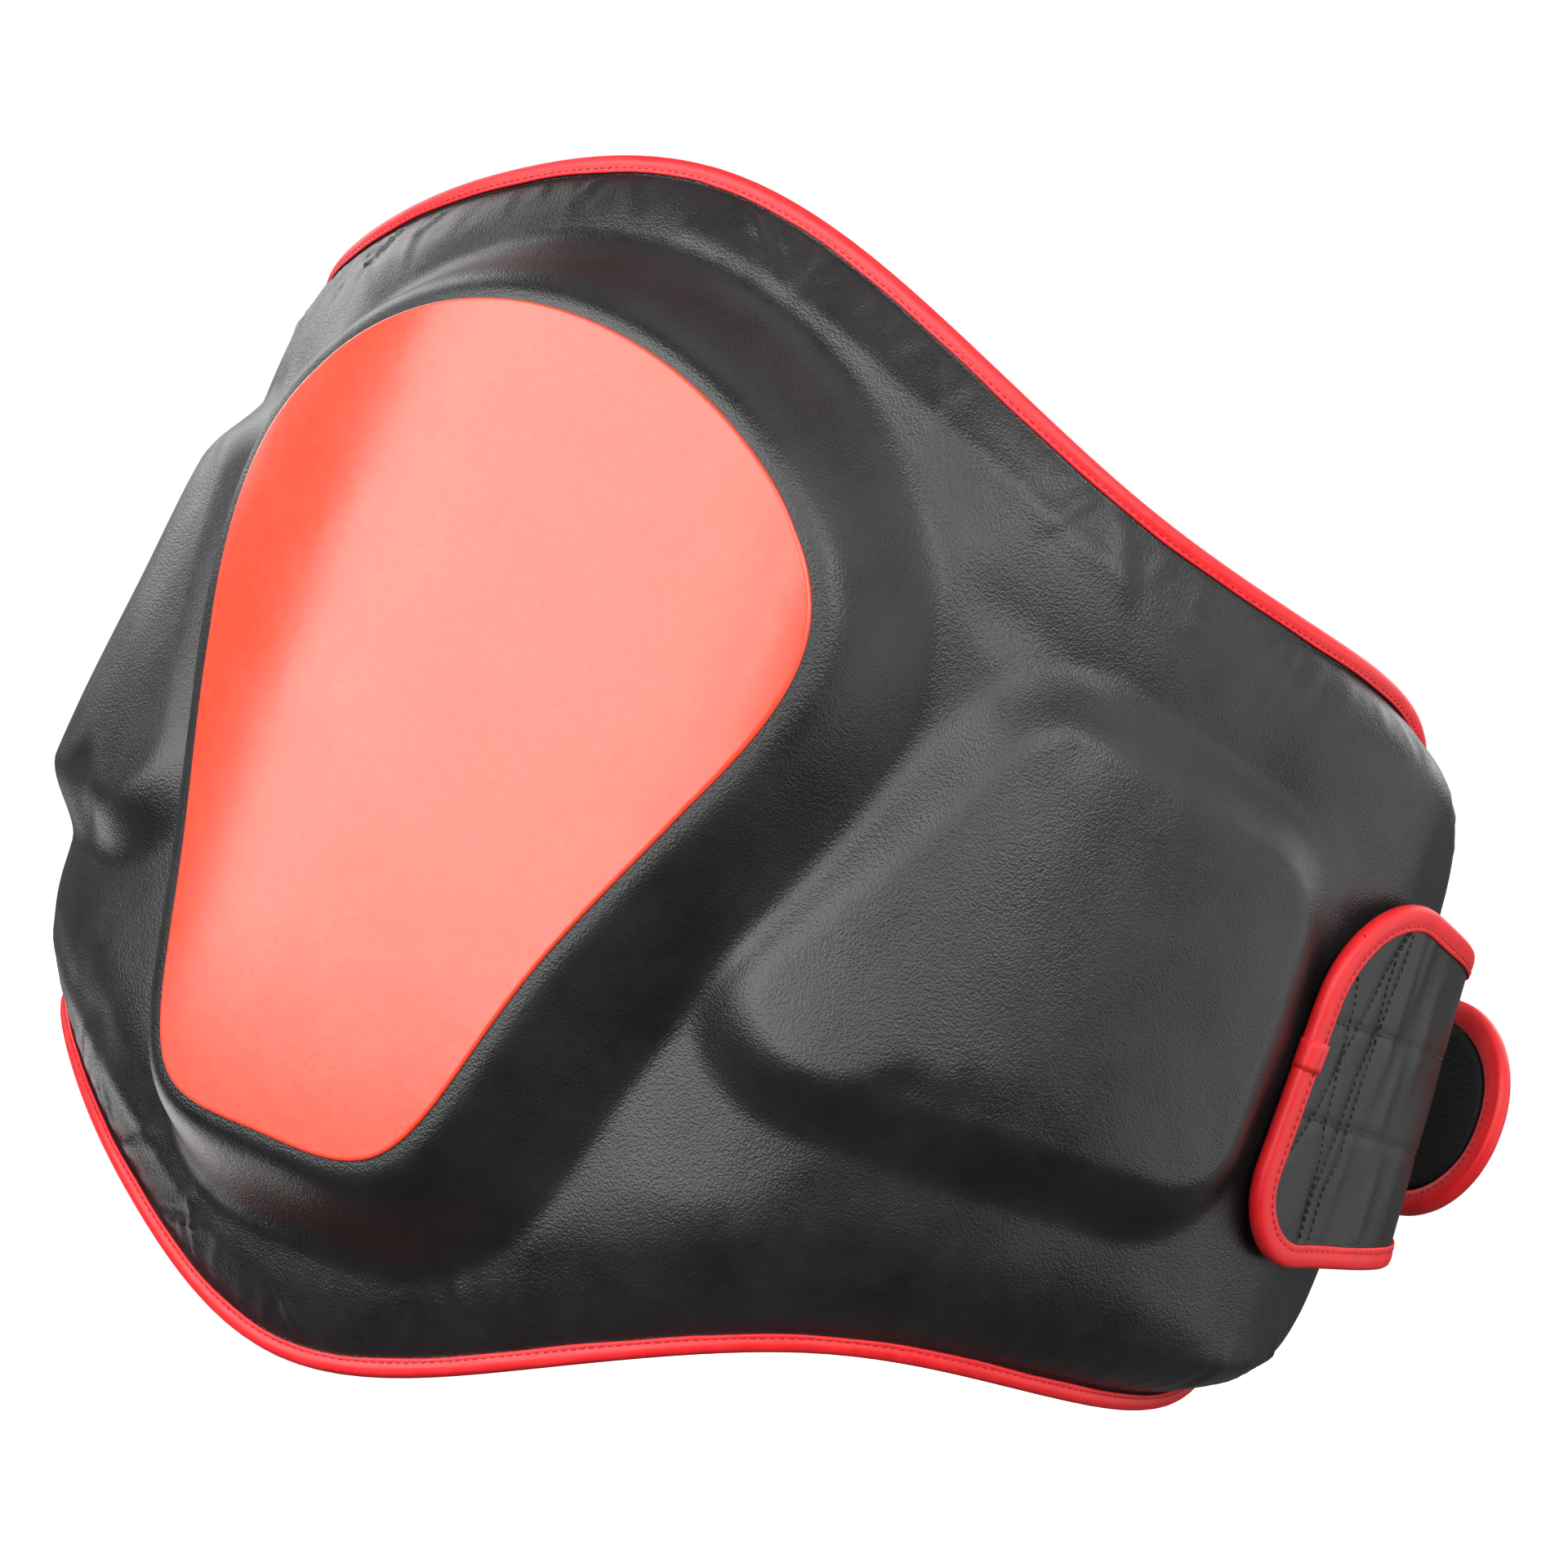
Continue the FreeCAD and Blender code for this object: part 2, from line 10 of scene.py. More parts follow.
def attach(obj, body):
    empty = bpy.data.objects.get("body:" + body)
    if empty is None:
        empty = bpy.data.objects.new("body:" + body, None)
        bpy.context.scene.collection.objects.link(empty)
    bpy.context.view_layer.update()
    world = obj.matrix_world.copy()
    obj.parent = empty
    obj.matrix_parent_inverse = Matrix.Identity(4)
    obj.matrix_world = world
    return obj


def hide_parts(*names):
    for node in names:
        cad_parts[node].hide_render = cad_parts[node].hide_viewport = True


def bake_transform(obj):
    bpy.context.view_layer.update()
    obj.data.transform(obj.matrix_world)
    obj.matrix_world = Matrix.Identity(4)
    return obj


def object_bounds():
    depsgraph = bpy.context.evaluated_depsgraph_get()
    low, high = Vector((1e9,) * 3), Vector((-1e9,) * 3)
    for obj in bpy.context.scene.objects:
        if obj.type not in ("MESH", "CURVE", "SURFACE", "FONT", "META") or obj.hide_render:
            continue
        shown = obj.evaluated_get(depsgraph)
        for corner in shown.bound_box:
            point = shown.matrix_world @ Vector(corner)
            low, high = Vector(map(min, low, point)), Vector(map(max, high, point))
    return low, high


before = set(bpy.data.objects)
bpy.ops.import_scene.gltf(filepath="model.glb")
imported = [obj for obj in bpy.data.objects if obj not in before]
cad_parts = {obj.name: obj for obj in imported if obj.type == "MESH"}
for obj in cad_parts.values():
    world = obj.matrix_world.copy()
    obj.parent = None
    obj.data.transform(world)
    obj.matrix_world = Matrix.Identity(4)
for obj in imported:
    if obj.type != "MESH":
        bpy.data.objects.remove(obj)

# Looks of the trainer belly pad.  Shapes are worked out in millimetres and made in metres.
#
# As in the CAD, a place on a layer is (s, z, h): s runs along the layer in plan, z is the
# height, and h is the distance out from the lining, or to the left of a strap's route.

CAD_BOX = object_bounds()
MM = 0.001

# ---- plan shape and outlines of the pad, as in the CAD
CENTRE_RADIUS = 394.5
CENTRE_HALF_ARC = 87.7
SIDE_RADIUS = 164.9
WING_TIP = 381.0
PAD_OUTLINE = [
    (0, 206.2), (83.8, 186.3), (171.5, 149.8), (259, 131.7), (358, 97.7), (WING_TIP, -31.6),
    (356.8, -110.4), (259, -130.8), (171.5, -140.5), (83.8, -179), (0, -206.2),
]
PANEL_OUTLINE = [
    (0, 142.9), (57.1, 127.6), (100.1, 70.7), (63.2, -57.8), (37.2, -130.6), (0, -136.6),
]
BLOCK_CORE = np.array([(180, 52), (241, 38), (238, -33), (137, -36)], float)
BLOCK_CORNER = 18.0

# ---- heights of the front
FLANGE_WIDTH = 5.8
FLANGE_HEIGHT = 3.0
CENTRE_BODY = 16.0
WING_BODY = (20.0, 11.0)
TIP_BODY = (28.0, 26.0)
WING_FROM, WING_REACH = 80.0, 100.0
TIP_FROM, TIP_REACH = 230.0, 90.0
UPPER_FROM, UPPER_REACH = -60.0, 120.0
WING_EDGE_ROUND = 45.0
TIP_EDGE_ROUND = 23.5
EDGE_POWER = 2.6
PANEL_HEIGHT = 63.0
PANEL_FALL_S = 0.001417
PANEL_FALL_Z = 0.0003012
PANEL_PEAK_Z = -17.6
DOME_SHOULDER = 3.0
DOME_WALL = 32.0
BLOCK_HEIGHT = 30.0
BLOCK_MIDDLE = 200.0
BLOCK_LEAN_OUT = 0.08
BLOCK_LEAN_UP = -0.10
BLOCK_WALL = 26.0
COVER_THICK = 1.4
LINING_THICK = 1.2
PANEL_GAP = 0.1
PANEL_THICK = 1.2

# ---- tape, flap and strap
TAPE = 0.8
TAPE_WIDTH = 7.4
PAD_TAPE_WIDTH = 5.2
TAPE_GAP = 0.25
STRAP_Z = -1.5
STRAP_THICK = 4.0
ROOT_OVERLAP = 30.0
ROOT_CLEARANCE = 2.6
FLAP_ROOT_HALF = 53.0
FLAP_TIP_HALF = 69.0
FLAP_TOP_CORNER = 40.0
FLAP_LOW_CORNER = 29.0
FLAP_PATCH_INSET = 14.0
STRAP_HALF = 38.0
STRAP_TIP_RADIUS = 37.0
HOOK_INSET = 8.5
WEB = (1.3, 2.7)
WEB_INSET = 4.0
PATCH = 0.9
PATCH_GAP = 0.1
ELASTIC_HALF_LENGTH = 60.0
ELASTIC_LAP = 12.0
STRAP_BACK_Y = 335.0
ROUTE_SPARE = 2.0
FLAP_ROUTE = [
    (199, 248), (203, 255), (212, 257), (225, 249.5), (236.5, 235.5), (243.5, 218), (246, 197),
    (245.4, 171), (242.8, 151), (239.6, 135.5),
]
FLAP_HINGE_AT = FLAP_ROUTE[4]
STRAP_ROUTE = [
    (-190, 264), (-168, 292), (-135, 316), (-97, 330.5), (-60, STRAP_BACK_Y),
    (-20, STRAP_BACK_Y), (20, STRAP_BACK_Y), (60, STRAP_BACK_Y), (97, 330.5), (140, 316),
    (190, 296), (263.3, 266.8),
]

# ---- fineness of the meshes
OUTLINE_POINTS = 220
COVER_STEP = 2.3
FINE_STEP = 1.5
ROUTE_POINTS = 4000


# ---- curves and distances

def ease(t):
    t = np.clip(t, 0.0, 1.0)
    return t * t * (3.0 - 2.0 * t)


def mix(start, finish, share):
    return start + (finish - start) * share


def bell(x, width):
    return np.exp(-((x / width) ** 2))


def spline(points, step, closed, at):
    """Places on the smooth cubic curve through points that are some steps of time apart.

    An open curve starts and ends with the slopes of parabolas through its three end points.
    """
    ring = np.vstack([points, points[:1]]) if closed else points
    knots = np.concatenate([[0.0], np.cumsum(step)])
    rise = np.diff(ring, axis=0) / step[:, None]
    n = len(points)
    matrix = np.zeros((n, n))
    pull = np.zeros((n, 2))
    for i in range(n) if closed else range(1, n - 1):
        matrix[i, i - 1] += step[i - 1]
        matrix[i, i] += 2 * (step[i - 1] + step[i])
        matrix[i, (i + 1) % n] += step[i]
        pull[i] = 6 * (rise[i] - rise[i - 1])
    if not closed:
        matrix[0, :2] = 2 * step[0], step[0]
        matrix[-1, -2:] = step[-1], 2 * step[-1]
        pull[0] = 6 * (rise[1] - rise[0]) * step[0] / (step[0] + step[1])
        pull[-1] = 6 * (rise[-1] - rise[-2]) * step[-1] / (step[-1] + step[-2])
    bend = np.linalg.solve(matrix, pull)[np.arange(len(ring)) % n]
    i = np.clip(np.searchsorted(knots, at, "right") - 1, 0, len(step) - 1)
    w = step[i][:, None]
    u = (at - knots[i])[:, None]
    v = w - u
    return (bend[i] * v ** 3 + bend[i + 1] * u ** 3) / (6 * w) + (
        (ring[i] / w - bend[i] * w / 6) * v + (ring[i + 1] / w - bend[i + 1] * w / 6) * u)


def closed_outline(half):
    """The smooth closed curve through a right half and its mirror image.

    Time between two points grows with the square root of their distance.
    """
    points = np.array(half + [(-s, z) for s, z in reversed(half[1:-1])], float)
    step = np.sqrt(np.linalg.norm(np.roll(points, -1, 0) - points, axis=1))
    return spline(points, step, True, np.arange(OUTLINE_POINTS) * np.sum(step) / OUTLINE_POINTS)


def along_line(points, closed):
    """Running length of a line, with the closing stretch at its end if it is closed."""
    ring = np.vstack([points, points[:1]]) if closed else points
    return ring, np.concatenate([[0.0], np.cumsum(np.linalg.norm(np.diff(ring, axis=0), axis=1))])


def resample(points, step, closed):
    """The same line with even spacing."""
    ring, length = along_line(points, closed)
    count = max(2, int(round(length[-1] / step)))
    at = np.linspace(0.0, length[-1], count + 1)[: count if closed else count + 1]
    return np.stack([np.interp(at, length, ring[:, k]) for k in range(ring.shape[1])], -1)


def tangents(points, closed):
    round_flow = np.roll(points, -1, 0) - np.roll(points, 1, 0)
    flow = round_flow if closed else np.gradient(points, axis=0)
    return flow / np.linalg.norm(flow, axis=1)[:, None]


def inset_line(points, distance, closed=True):
    """A line moved to its right-hand side, which is inwards on a clockwise outline."""
    flow = tangents(points, closed)
    return points + distance * np.stack([flow[:, 1], -flow[:, 0]], -1)


def span_distance(places, start, span):
    """Distance from places to one straight stretch, and the share of it passed at its nearest point."""
    offset = places - start
    share = np.clip(offset @ span / (span @ span), 0.0, 1.0)
    return np.linalg.norm(offset - share[:, None] * span, axis=1), share


def edge_distance(places, outline):
    """Distance inside a closed outline, negative outside, and how far round the nearest point is."""
    spans = np.roll(outline, -1, 0) - outline
    lengths = np.linalg.norm(spans, axis=1)
    starts = np.concatenate([[0.0], np.cumsum(lengths)])
    best = np.full(len(places), np.inf)
    around = np.zeros(len(places))
    inside = np.zeros(len(places), bool)
    for k, (start, span) in enumerate(zip(outline, spans)):
        gap, share = span_distance(places, start, span)
        near = gap < best
        best[near] = gap[near]
        around[near] = starts[k] + share[near] * lengths[k]
        if span[1]:
            offset = places - start
            crosses = (offset[:, 1] < 0) != (offset[:, 1] < span[1])
            inside ^= crosses & (offset[:, 0] < offset[:, 1] * span[0] / span[1])
    return np.where(inside, best, -best), around


def line_distance(places, line):
    """Distance from places to an open line."""
    return np.min([span_distance(places, *pair)[0] for pair in zip(line, np.diff(line, axis=0))], axis=0)


PAD_EDGE = closed_outline(PAD_OUTLINE)
PANEL_EDGE = closed_outline(PANEL_OUTLINE)
PAD_ROUND = along_line(PAD_EDGE, True)[1][-1]


# ---- routes

def pad_place(s, z, h):
    """Points of the pad, in metres: a shallow centre arc that runs into a tighter arc each side."""
    s, z, h = np.broadcast_arrays(*[np.asarray(v, float) for v in (s, z, h)])
    arc = np.minimum(np.abs(s), CENTRE_HALF_ARC) / CENTRE_RADIUS
    turn = arc + np.maximum(np.abs(s) - CENTRE_HALF_ARC, 0.0) / SIDE_RADIUS
    x = CENTRE_RADIUS * np.sin(arc) + SIDE_RADIUS * (np.sin(turn) - np.sin(arc))
    y = CENTRE_RADIUS * (1 - np.cos(arc)) + SIDE_RADIUS * (np.cos(arc) - np.cos(turn))
    side = np.where(s < 0, -1.0, 1.0)
    return MM * np.stack([side * (x + h * np.sin(turn)), y - h * np.cos(turn), z], -1)


class Route:
    """A smooth plan curve that starts along the lining at a wing tip."""

    def __init__(self, side, points):
        steps = (WING_TIP - ROOT_OVERLAP, WING_TIP - ROOT_OVERLAP / 2, WING_TIP + 2.0)
        root = [pad_place(side * s, 0.0, -ROOT_CLEARANCE)[:2] / MM for s in steps]
        knots = np.vstack([root, points])
        times = along_line(knots, False)[1]
        at = np.linspace(0, times[-1], ROUTE_POINTS)
        self.line = spline(knots, np.diff(times), False, at)
        self.flow = tangents(self.line, False)
        self.run = along_line(self.line, False)[1]
        self.length = self.run[-1]

    def distance_to(self, point):
        return self.run[np.argmin(np.linalg.norm(self.line - np.array(point), axis=1))]

    def place(self, s, z, h):
        s, z, h = np.broadcast_arrays(*[np.asarray(v, float) for v in (s, z, h)])
        x, y = [np.interp(s, self.run, self.line[:, k]) for k in (0, 1)]
        dx, dy = [np.interp(s, self.run, self.flow[:, k]) for k in (0, 1)]
        return MM * np.stack([x - h * dy, y + h * dx, z], -1)


FLAP = Route(1, FLAP_ROUTE)
STRAP = Route(-1, STRAP_ROUTE)
FLAP_SPLIT = FLAP.distance_to(FLAP_HINGE_AT)
ELASTIC_START = STRAP.distance_to((-ELASTIC_HALF_LENGTH, STRAP_BACK_Y))
ELASTIC_END = STRAP.distance_to((ELASTIC_HALF_LENGTH, STRAP_BACK_Y))
FLAP_END = FLAP.length - ROUTE_SPARE
STRAP_END = STRAP.length - ROUTE_SPARE


# ---- relief of the pad

def base_relief(s, z):
    """Height of the moulded front: padded body, centre dome and wing blocks."""
    s = np.abs(s)
    places = np.stack([s, z], -1)
    inside, _ = edge_distance(places, PAD_EDGE)
    upper = ease((z - UPPER_FROM) / UPPER_REACH)
    outer = ease((s - TIP_FROM) / TIP_REACH)
    inner = mix(CENTRE_BODY, mix(*WING_BODY, upper), ease((s - WING_FROM) / WING_REACH))
    width = mix(WING_EDGE_ROUND, TIP_EDGE_ROUND, outer)
    t = np.clip((inside - FLANGE_WIDTH) / width, 0.0, 1.0)
    full = 1.0 - (1.0 - t) ** EDGE_POWER
    body = mix(FLANGE_HEIGHT, mix(inner, mix(*TIP_BODY, upper), outer), full)
    outside = np.maximum(0.0, -edge_distance(places, PANEL_EDGE)[0])
    top = PANEL_HEIGHT - PANEL_FALL_S * s ** 2 - PANEL_FALL_Z * (z - PANEL_PEAK_Z) ** 2
    dome = np.maximum(0.0, top - body) * (1.0 - ease((outside - DOME_SHOULDER) / DOME_WALL))
    outside = np.maximum(0.0, -edge_distance(places, BLOCK_CORE)[0] - BLOCK_CORNER)
    top = BLOCK_HEIGHT + BLOCK_LEAN_OUT * (s - BLOCK_MIDDLE) + BLOCK_LEAN_UP * z
    return body + dome + np.maximum(0.0, top - body) * (1.0 - ease(outside / BLOCK_WALL))


# Creases that run in from the sewn edge, with ranges for their spacing, length, depth and width.
GATHER_SEED = 7
GATHER_STEP = (7.0, 15.0)
GATHER_LENGTH = (10.0, 34.0)
GATHER_DEPTH = (0.35, 1.35)
GATHER_WIDTH = (1.8, 3.6)
GATHER_LEAN = 0.55
GATHER_CALM = 0.35
GATHER_RISE = 3.0
GATHER_HOLD = 0.35
GATHER_ECHO, GATHER_ECHO_AT = 0.6, 1.6
NOISE_WAVES, NOISE_SPREAD, NOISE_SHARE = 7, (0.7, 1.5), 0.25
# calm border round the panel, a low ridge inside the edge, and slack as (height, size, seed)
PANEL_CALM, PANEL_FREE = 4.0, 30.0
RIDGE_HEIGHT, RIDGE_INSET, RIDGE_WIDTH, RIDGE_WAVE = 0.9, 22.0, 4.5, 83.0
SLACK = [(0.35, 70.0, 3), (0.15, 28.0, 4)]
SLACK_FROM, SLACK_REACH = 9.0, 14.0


def gather_relief(around, inside):
    """Small leaning creases where the cover is gathered into the binding."""
    rng = np.random.RandomState(GATHER_SEED)
    relief = np.zeros(len(around))
    reach = np.maximum(inside - FLANGE_WIDTH, 0.0)
    at = 0.0
    while at < PAD_ROUND:
        at += rng.uniform(*GATHER_STEP)
        length = rng.uniform(*GATHER_LENGTH)
        depth = rng.uniform(*GATHER_DEPTH)
        lean = rng.normal(0.0, GATHER_LEAN)
        width = rng.uniform(*GATHER_WIDTH)
        busy = 0.5 + 0.5 * math.sin(at / 61.0) * math.sin(at / 37.0 + 1.0)
        depth *= GATHER_CALM + (1.0 - GATHER_CALM) * busy
        across = (around - at + PAD_ROUND / 2) % PAD_ROUND - PAD_ROUND / 2 - lean * reach
        fade = 1.0 - ease((reach - GATHER_HOLD * length) / ((1.0 - GATHER_HOLD) * length))
        echo = GATHER_ECHO * bell(across - GATHER_ECHO_AT * width, width)
        relief += depth * ease(reach / GATHER_RISE) * fade * (bell(across, width) - echo)
    return relief


def slow_noise(s, z, size, seed):
    """Gentle unevenness made of a few waves in seeded directions, between about -1 and 1."""
    rng = np.random.RandomState(seed)
    value = np.zeros(np.broadcast(s, z).shape)
    for _ in range(NOISE_WAVES):
        angle = rng.uniform(0, 2 * math.pi)
        wave = 2 * math.pi / (size * rng.uniform(*NOISE_SPREAD))
        phase = rng.uniform(0, 6.3)
        value = value + np.sin(wave * (s * math.cos(angle) + z * math.sin(angle)) + phase)
    return value * NOISE_SHARE


def panel_freedom(places):
    """How free the cover is to move: 0 beside the panel, and 1 well away from it."""
    return ease((-edge_distance(places, PANEL_EDGE)[0] - PANEL_CALM) / PANEL_FREE)


def cover_relief(s, z):
    """Height of the cover as it is sewn: the moulded shape with its gathers and slack."""
    places = np.stack([s, z], -1)
    inside, around = edge_distance(places, PAD_EDGE)
    wave = 0.5 + 0.5 * np.sin(around / RIDGE_WAVE + 0.6)
    loose = RIDGE_HEIGHT * bell(inside - RIDGE_INSET, RIDGE_WIDTH) * wave
    loose = loose + sum(height * slow_noise(s, z, size, seed) for height, size, seed in SLACK)
    relief = gather_relief(around, inside) + loose * ease((inside - SLACK_FROM) / SLACK_REACH)
    return base_relief(s, z) + relief * panel_freedom(places)


# ---- cloth simulation of the cover

SIM_STEP = 5.0
SIM_EDGE = 0.4
SIM_PINNED = 2.0
SIM_FRAMES = 20
SIM_CLOTH = {
    "quality": 6, "mass": 0.4, "tension_stiffness": 40, "compression_stiffness": 40,
    "shear_stiffness": 20, "bending_stiffness": 4, "shrink_min": -0.02,
    "use_pressure": True, "uniform_pressure_force": 4.0,
}
SWELL_CAP = (-0.6, 2.6)
SWELL_CALM = 12.0


def simulate_swell():
    """Pressure inside the cover, pinned at the binding, found by cloth simulation.

    Returns a function that gives how far the cover stands out at (s, z).
    """
    low, high = PAD_EDGE.min(0), PAD_EDGE.max(0)
    s_line, z_line = [np.arange(a, b + SIM_STEP, SIM_STEP) for a, b in zip(low, high)]
    s, z = [axis.ravel() for axis in np.meshgrid(s_line, z_line, indexing="ij")]
    places = np.stack([s, z], -1)
    inside, _ = edge_distance(places, PAD_EDGE)
    kept = inside > SIM_EDGE * SIM_STEP
    number = np.where(kept, np.cumsum(kept) - 1, -1).reshape(len(s_line), len(z_line))
    corners = np.stack([number[:-1, :-1], number[1:, :-1], number[1:, 1:], number[:-1, 1:]], -1)
    quads = corners.reshape(-1, 4)
    quads = quads[(quads >= 0).all(1)]
    height = base_relief(s[kept], z[kept])
    rest = pad_place(s[kept], z[kept], height)
    cover = mesh_object("cover_simulation", rest, quads.tolist())
    group = cover.vertex_groups.new(name="sewn")
    for i in np.flatnonzero(inside[kept] < FLANGE_WIDTH + SIM_PINNED):
        group.add([int(i)], 1.0, "REPLACE")
    cloth = cover.modifiers.new("Cloth", "CLOTH").settings
    for name, value in SIM_CLOTH.items():
        setattr(cloth, name, value)
    cloth.vertex_group_mass = group.name
    cloth.effector_weights.gravity = 0.0
    for frame_number in range(1, SIM_FRAMES + 1):
        bpy.context.scene.frame_set(frame_number)
    shaped = cover.evaluated_get(bpy.context.evaluated_depsgraph_get()).to_mesh()
    moved = np.empty(len(rest) * 3)
    shaped.vertices.foreach_get("co", moved)
    outward = pad_place(s[kept], z[kept], height + 1.0) - rest
    rise = ((moved.reshape(-1, 3) - rest) * outward).sum(1) / (outward ** 2).sum(1)
    bpy.data.objects.remove(cover)
    bpy.context.scene.frame_set(1)
    field = np.zeros(len(kept))
    field[kept] = np.clip(rise - np.median(rise), *SWELL_CAP)
    field *= panel_freedom(places) * ease((inside - FLANGE_WIDTH) / SWELL_CALM)
    field = field.reshape(len(s_line), len(z_line))
    return lambda s, z: cubic_lookup(field, (s - low[0]) / SIM_STEP, (z - low[1]) / SIM_STEP)


def cubic_lookup(field, i, j):
    """Smooth reading between the places of a grid."""
    value = np.zeros(len(i))
    i0, j0 = np.floor(i).astype(int), np.floor(j).astype(int)
    for di in range(-1, 3):
        for dj in range(-1, 3):
            row = np.clip(i0 + di, 0, field.shape[0] - 1)
            column = np.clip(j0 + dj, 0, field.shape[1] - 1)
            value += field[row, column] * spline_weight(i - i0 - di) * spline_weight(j - j0 - dj)
    return value


def spline_weight(t):
    t = np.abs(t)
    near = 2 / 3 - t ** 2 + t ** 3 / 2
    return np.where(t < 1, near, np.maximum(2 - t, 0) ** 3 / 6)


# ---- meshes

# room between the last ring and the grid, in grid steps, and the least thickness of a layer
GRID_GAP = 0.65
THINNEST = 0.05


def mesh_object(name, points, faces, material=None):
    mesh = bpy.data.meshes.new(name)
    mesh.from_pydata([tuple(p) for p in points], [], faces)
    made = bpy.data.objects.new(name, mesh)
    bpy.context.scene.collection.objects.link(made)
    if material:
        mesh.materials.append(material)
    return made


def tidy_mesh(made, join=True):
    """Faces outwards and smooth, and pairs of triangles joined to quads."""
    cage = bmesh.new()
    cage.from_mesh(made.data)
    if join:
        bmesh.ops.join_triangles(
            cage, faces=cage.faces, angle_face_threshold=0.5, angle_shape_threshold=0.9)
    bmesh.ops.recalc_face_normals(cage, faces=cage.faces)
    cage.to_mesh(made.data)
    cage.free()
    made.data.polygons.foreach_set("use_smooth", [True] * len(made.data.polygons))
    return made


def fill_outline(outline, step, rings):
    """Places and faces inside an outline: rings that follow it, then a square grid."""
    edge = resample(outline, step, True)
    lines = [inset_line(edge, ring) for ring in rings]
    low, high = outline.min(0), outline.max(0)
    axes = [np.arange(a + step / 2, b, step) for a, b in zip(low, high)]
    grid = np.stack(np.meshgrid(*axes, indexing="ij"), -1).reshape(-1, 2)
    inside, _ = edge_distance(grid, edge)
    places = np.vstack(lines + [grid[inside > rings[-1] + GRID_GAP * step]])
    count = len(edge)
    loops = [(k * count + i, k * count + (i + 1) % count)
             for k in range(len(rings)) for i in range(count)]
    made = delaunay_2d_cdt([Vector(p) for p in places], loops, [], 1, 1e-7)
    return np.array([tuple(p) for p in made[0]]), made[2]


def slab(name, place, outline, low, high, material, step=FINE_STEP, rings=(0.0,), round_rim=0.0):
    """A closed layer between two heights inside an outline, with its top rim rounded off."""
    places, faces = fill_outline(outline, step, rings)
    s, z = places.T
    inside = np.maximum(edge_distance(places, resample(outline, step, True))[0], 0.0)
    top = high(s, z)
    if round_rim:
        t = np.clip(1.0 - inside / round_rim, 0.0, 1.0)
        top = top - round_rim * (1.0 - np.sqrt(1.0 - t ** 2))
    bottom = np.minimum(low(s, z), top - THINNEST)
    points = np.vstack([place(s, z, top), place(s, z, bottom)])
    count = len(places)
    used = dict.fromkeys(pair for face in faces for pair in zip(face, face[1:] + face[:1]))
    rim = [(a, b) for a, b in used if (b, a) not in used]
    under = [[i + count for i in reversed(face)] for face in faces]
    sides = [[b, a, a + count, b + count] for a, b in rim]
    return tidy_mesh(mesh_object(name, points, list(faces) + under + sides, material))


def level(height):
    return lambda s, z: np.full(len(s), float(height))


def above(face, rise):
    """The same face moved outwards."""
    return lambda s, z: face(s, z) + rise


def tube_faces(start, rings, around, closed):
    """Faces of a tube made of rings of points, with its ends capped if it is open."""
    number = start + np.arange(rings * around).reshape(rings, around)
    number = np.vstack([number, number[:1]]) if closed else number
    beside = np.roll(number, -1, 1)
    faces = np.stack([number[:-1], beside[:-1], beside[1:], number[1:]], -1).reshape(-1, 4).tolist()
    return faces if closed else faces + [number[0, ::-1].tolist(), number[-1].tolist()]


# face of a tape, as (share of its width, rise), sunk along its sewing
TAPE_FACE_LINE = [(0.32, 0.22), (0.5, 0.16), (0.66, -0.12), (0.74, -0.18), (0.82, -0.06), (0.93, -0.02)]
TAPE_FOLD_POINTS = 9
TAPE_FOLD_FROM = 0.9
TAPE_WAVES = [(9.7, 0.0), (23.0, 1.0), (5.3, 2.0)]


def tape_section(low, high, width):
    """Closed section of a folded tape, as (distance in from the edge, height)."""
    base, crown = low - TAPE_GAP, high + TAPE_GAP
    middle, half = (base + crown) / 2, (crown - base) / 2 + TAPE
    nose = TAPE_GAP + TAPE + TAPE_FOLD_FROM
    angles = np.linspace(0.0, math.pi, TAPE_FOLD_POINTS)
    fold = [(TAPE_FOLD_FROM - nose * math.sin(a), middle - half * math.cos(a)) for a in angles]
    front = [(share * width, crown + TAPE + rise) for share, rise in TAPE_FACE_LINE]
    front += [(width, crown + 0.5 * TAPE), (width - 0.2, crown - 0.25)]
    inner = [(0.5 - TAPE_GAP, crown - 0.2), (0.5 - TAPE_GAP, base + 0.2)]
    back = [(width - 0.2, base + 0.25), (width, base - 0.5 * TAPE),
            (0.9 * width, base - TAPE), (0.32 * width, base - TAPE - 0.1)]
    return np.array(fold + front + inner + back)


def tape(name, place, line, closed, low, high, wobble=0.18, width=TAPE_WIDTH):
    """Tape folded over an edge line and sewn flat, with the small waves of real tape."""
    flow = tangents(line, closed)
    inward = np.stack([flow[:, 1], -flow[:, 0]], -1)
    if not closed:
        inward[[0, -1]] = np.round(inward[[0, -1]])
    run = along_line(line, closed)[1][: len(line)]
    wave = wobble * sum(np.sin(run / size + phase) for size, phase in TAPE_WAVES) / 2
    rows = []
    for inset, height in tape_section(low, high, width):
        share = np.clip(inset / width, 0.0, 1.0)
        places = line + inward * (inset + wave * share)[:, None]
        lift = 0.5 * np.roll(wave, 7) * math.sin(math.pi * share) * np.sign(height - (low + high) / 2)
        rows.append(place(*places.T, height + lift))
    points = np.stack(rows, 1)
    faces = tube_faces(0, *points.shape[:2], closed)
    return tidy_mesh(mesh_object(name, points.reshape(-1, 3), faces, TAPE_RED), join=False)


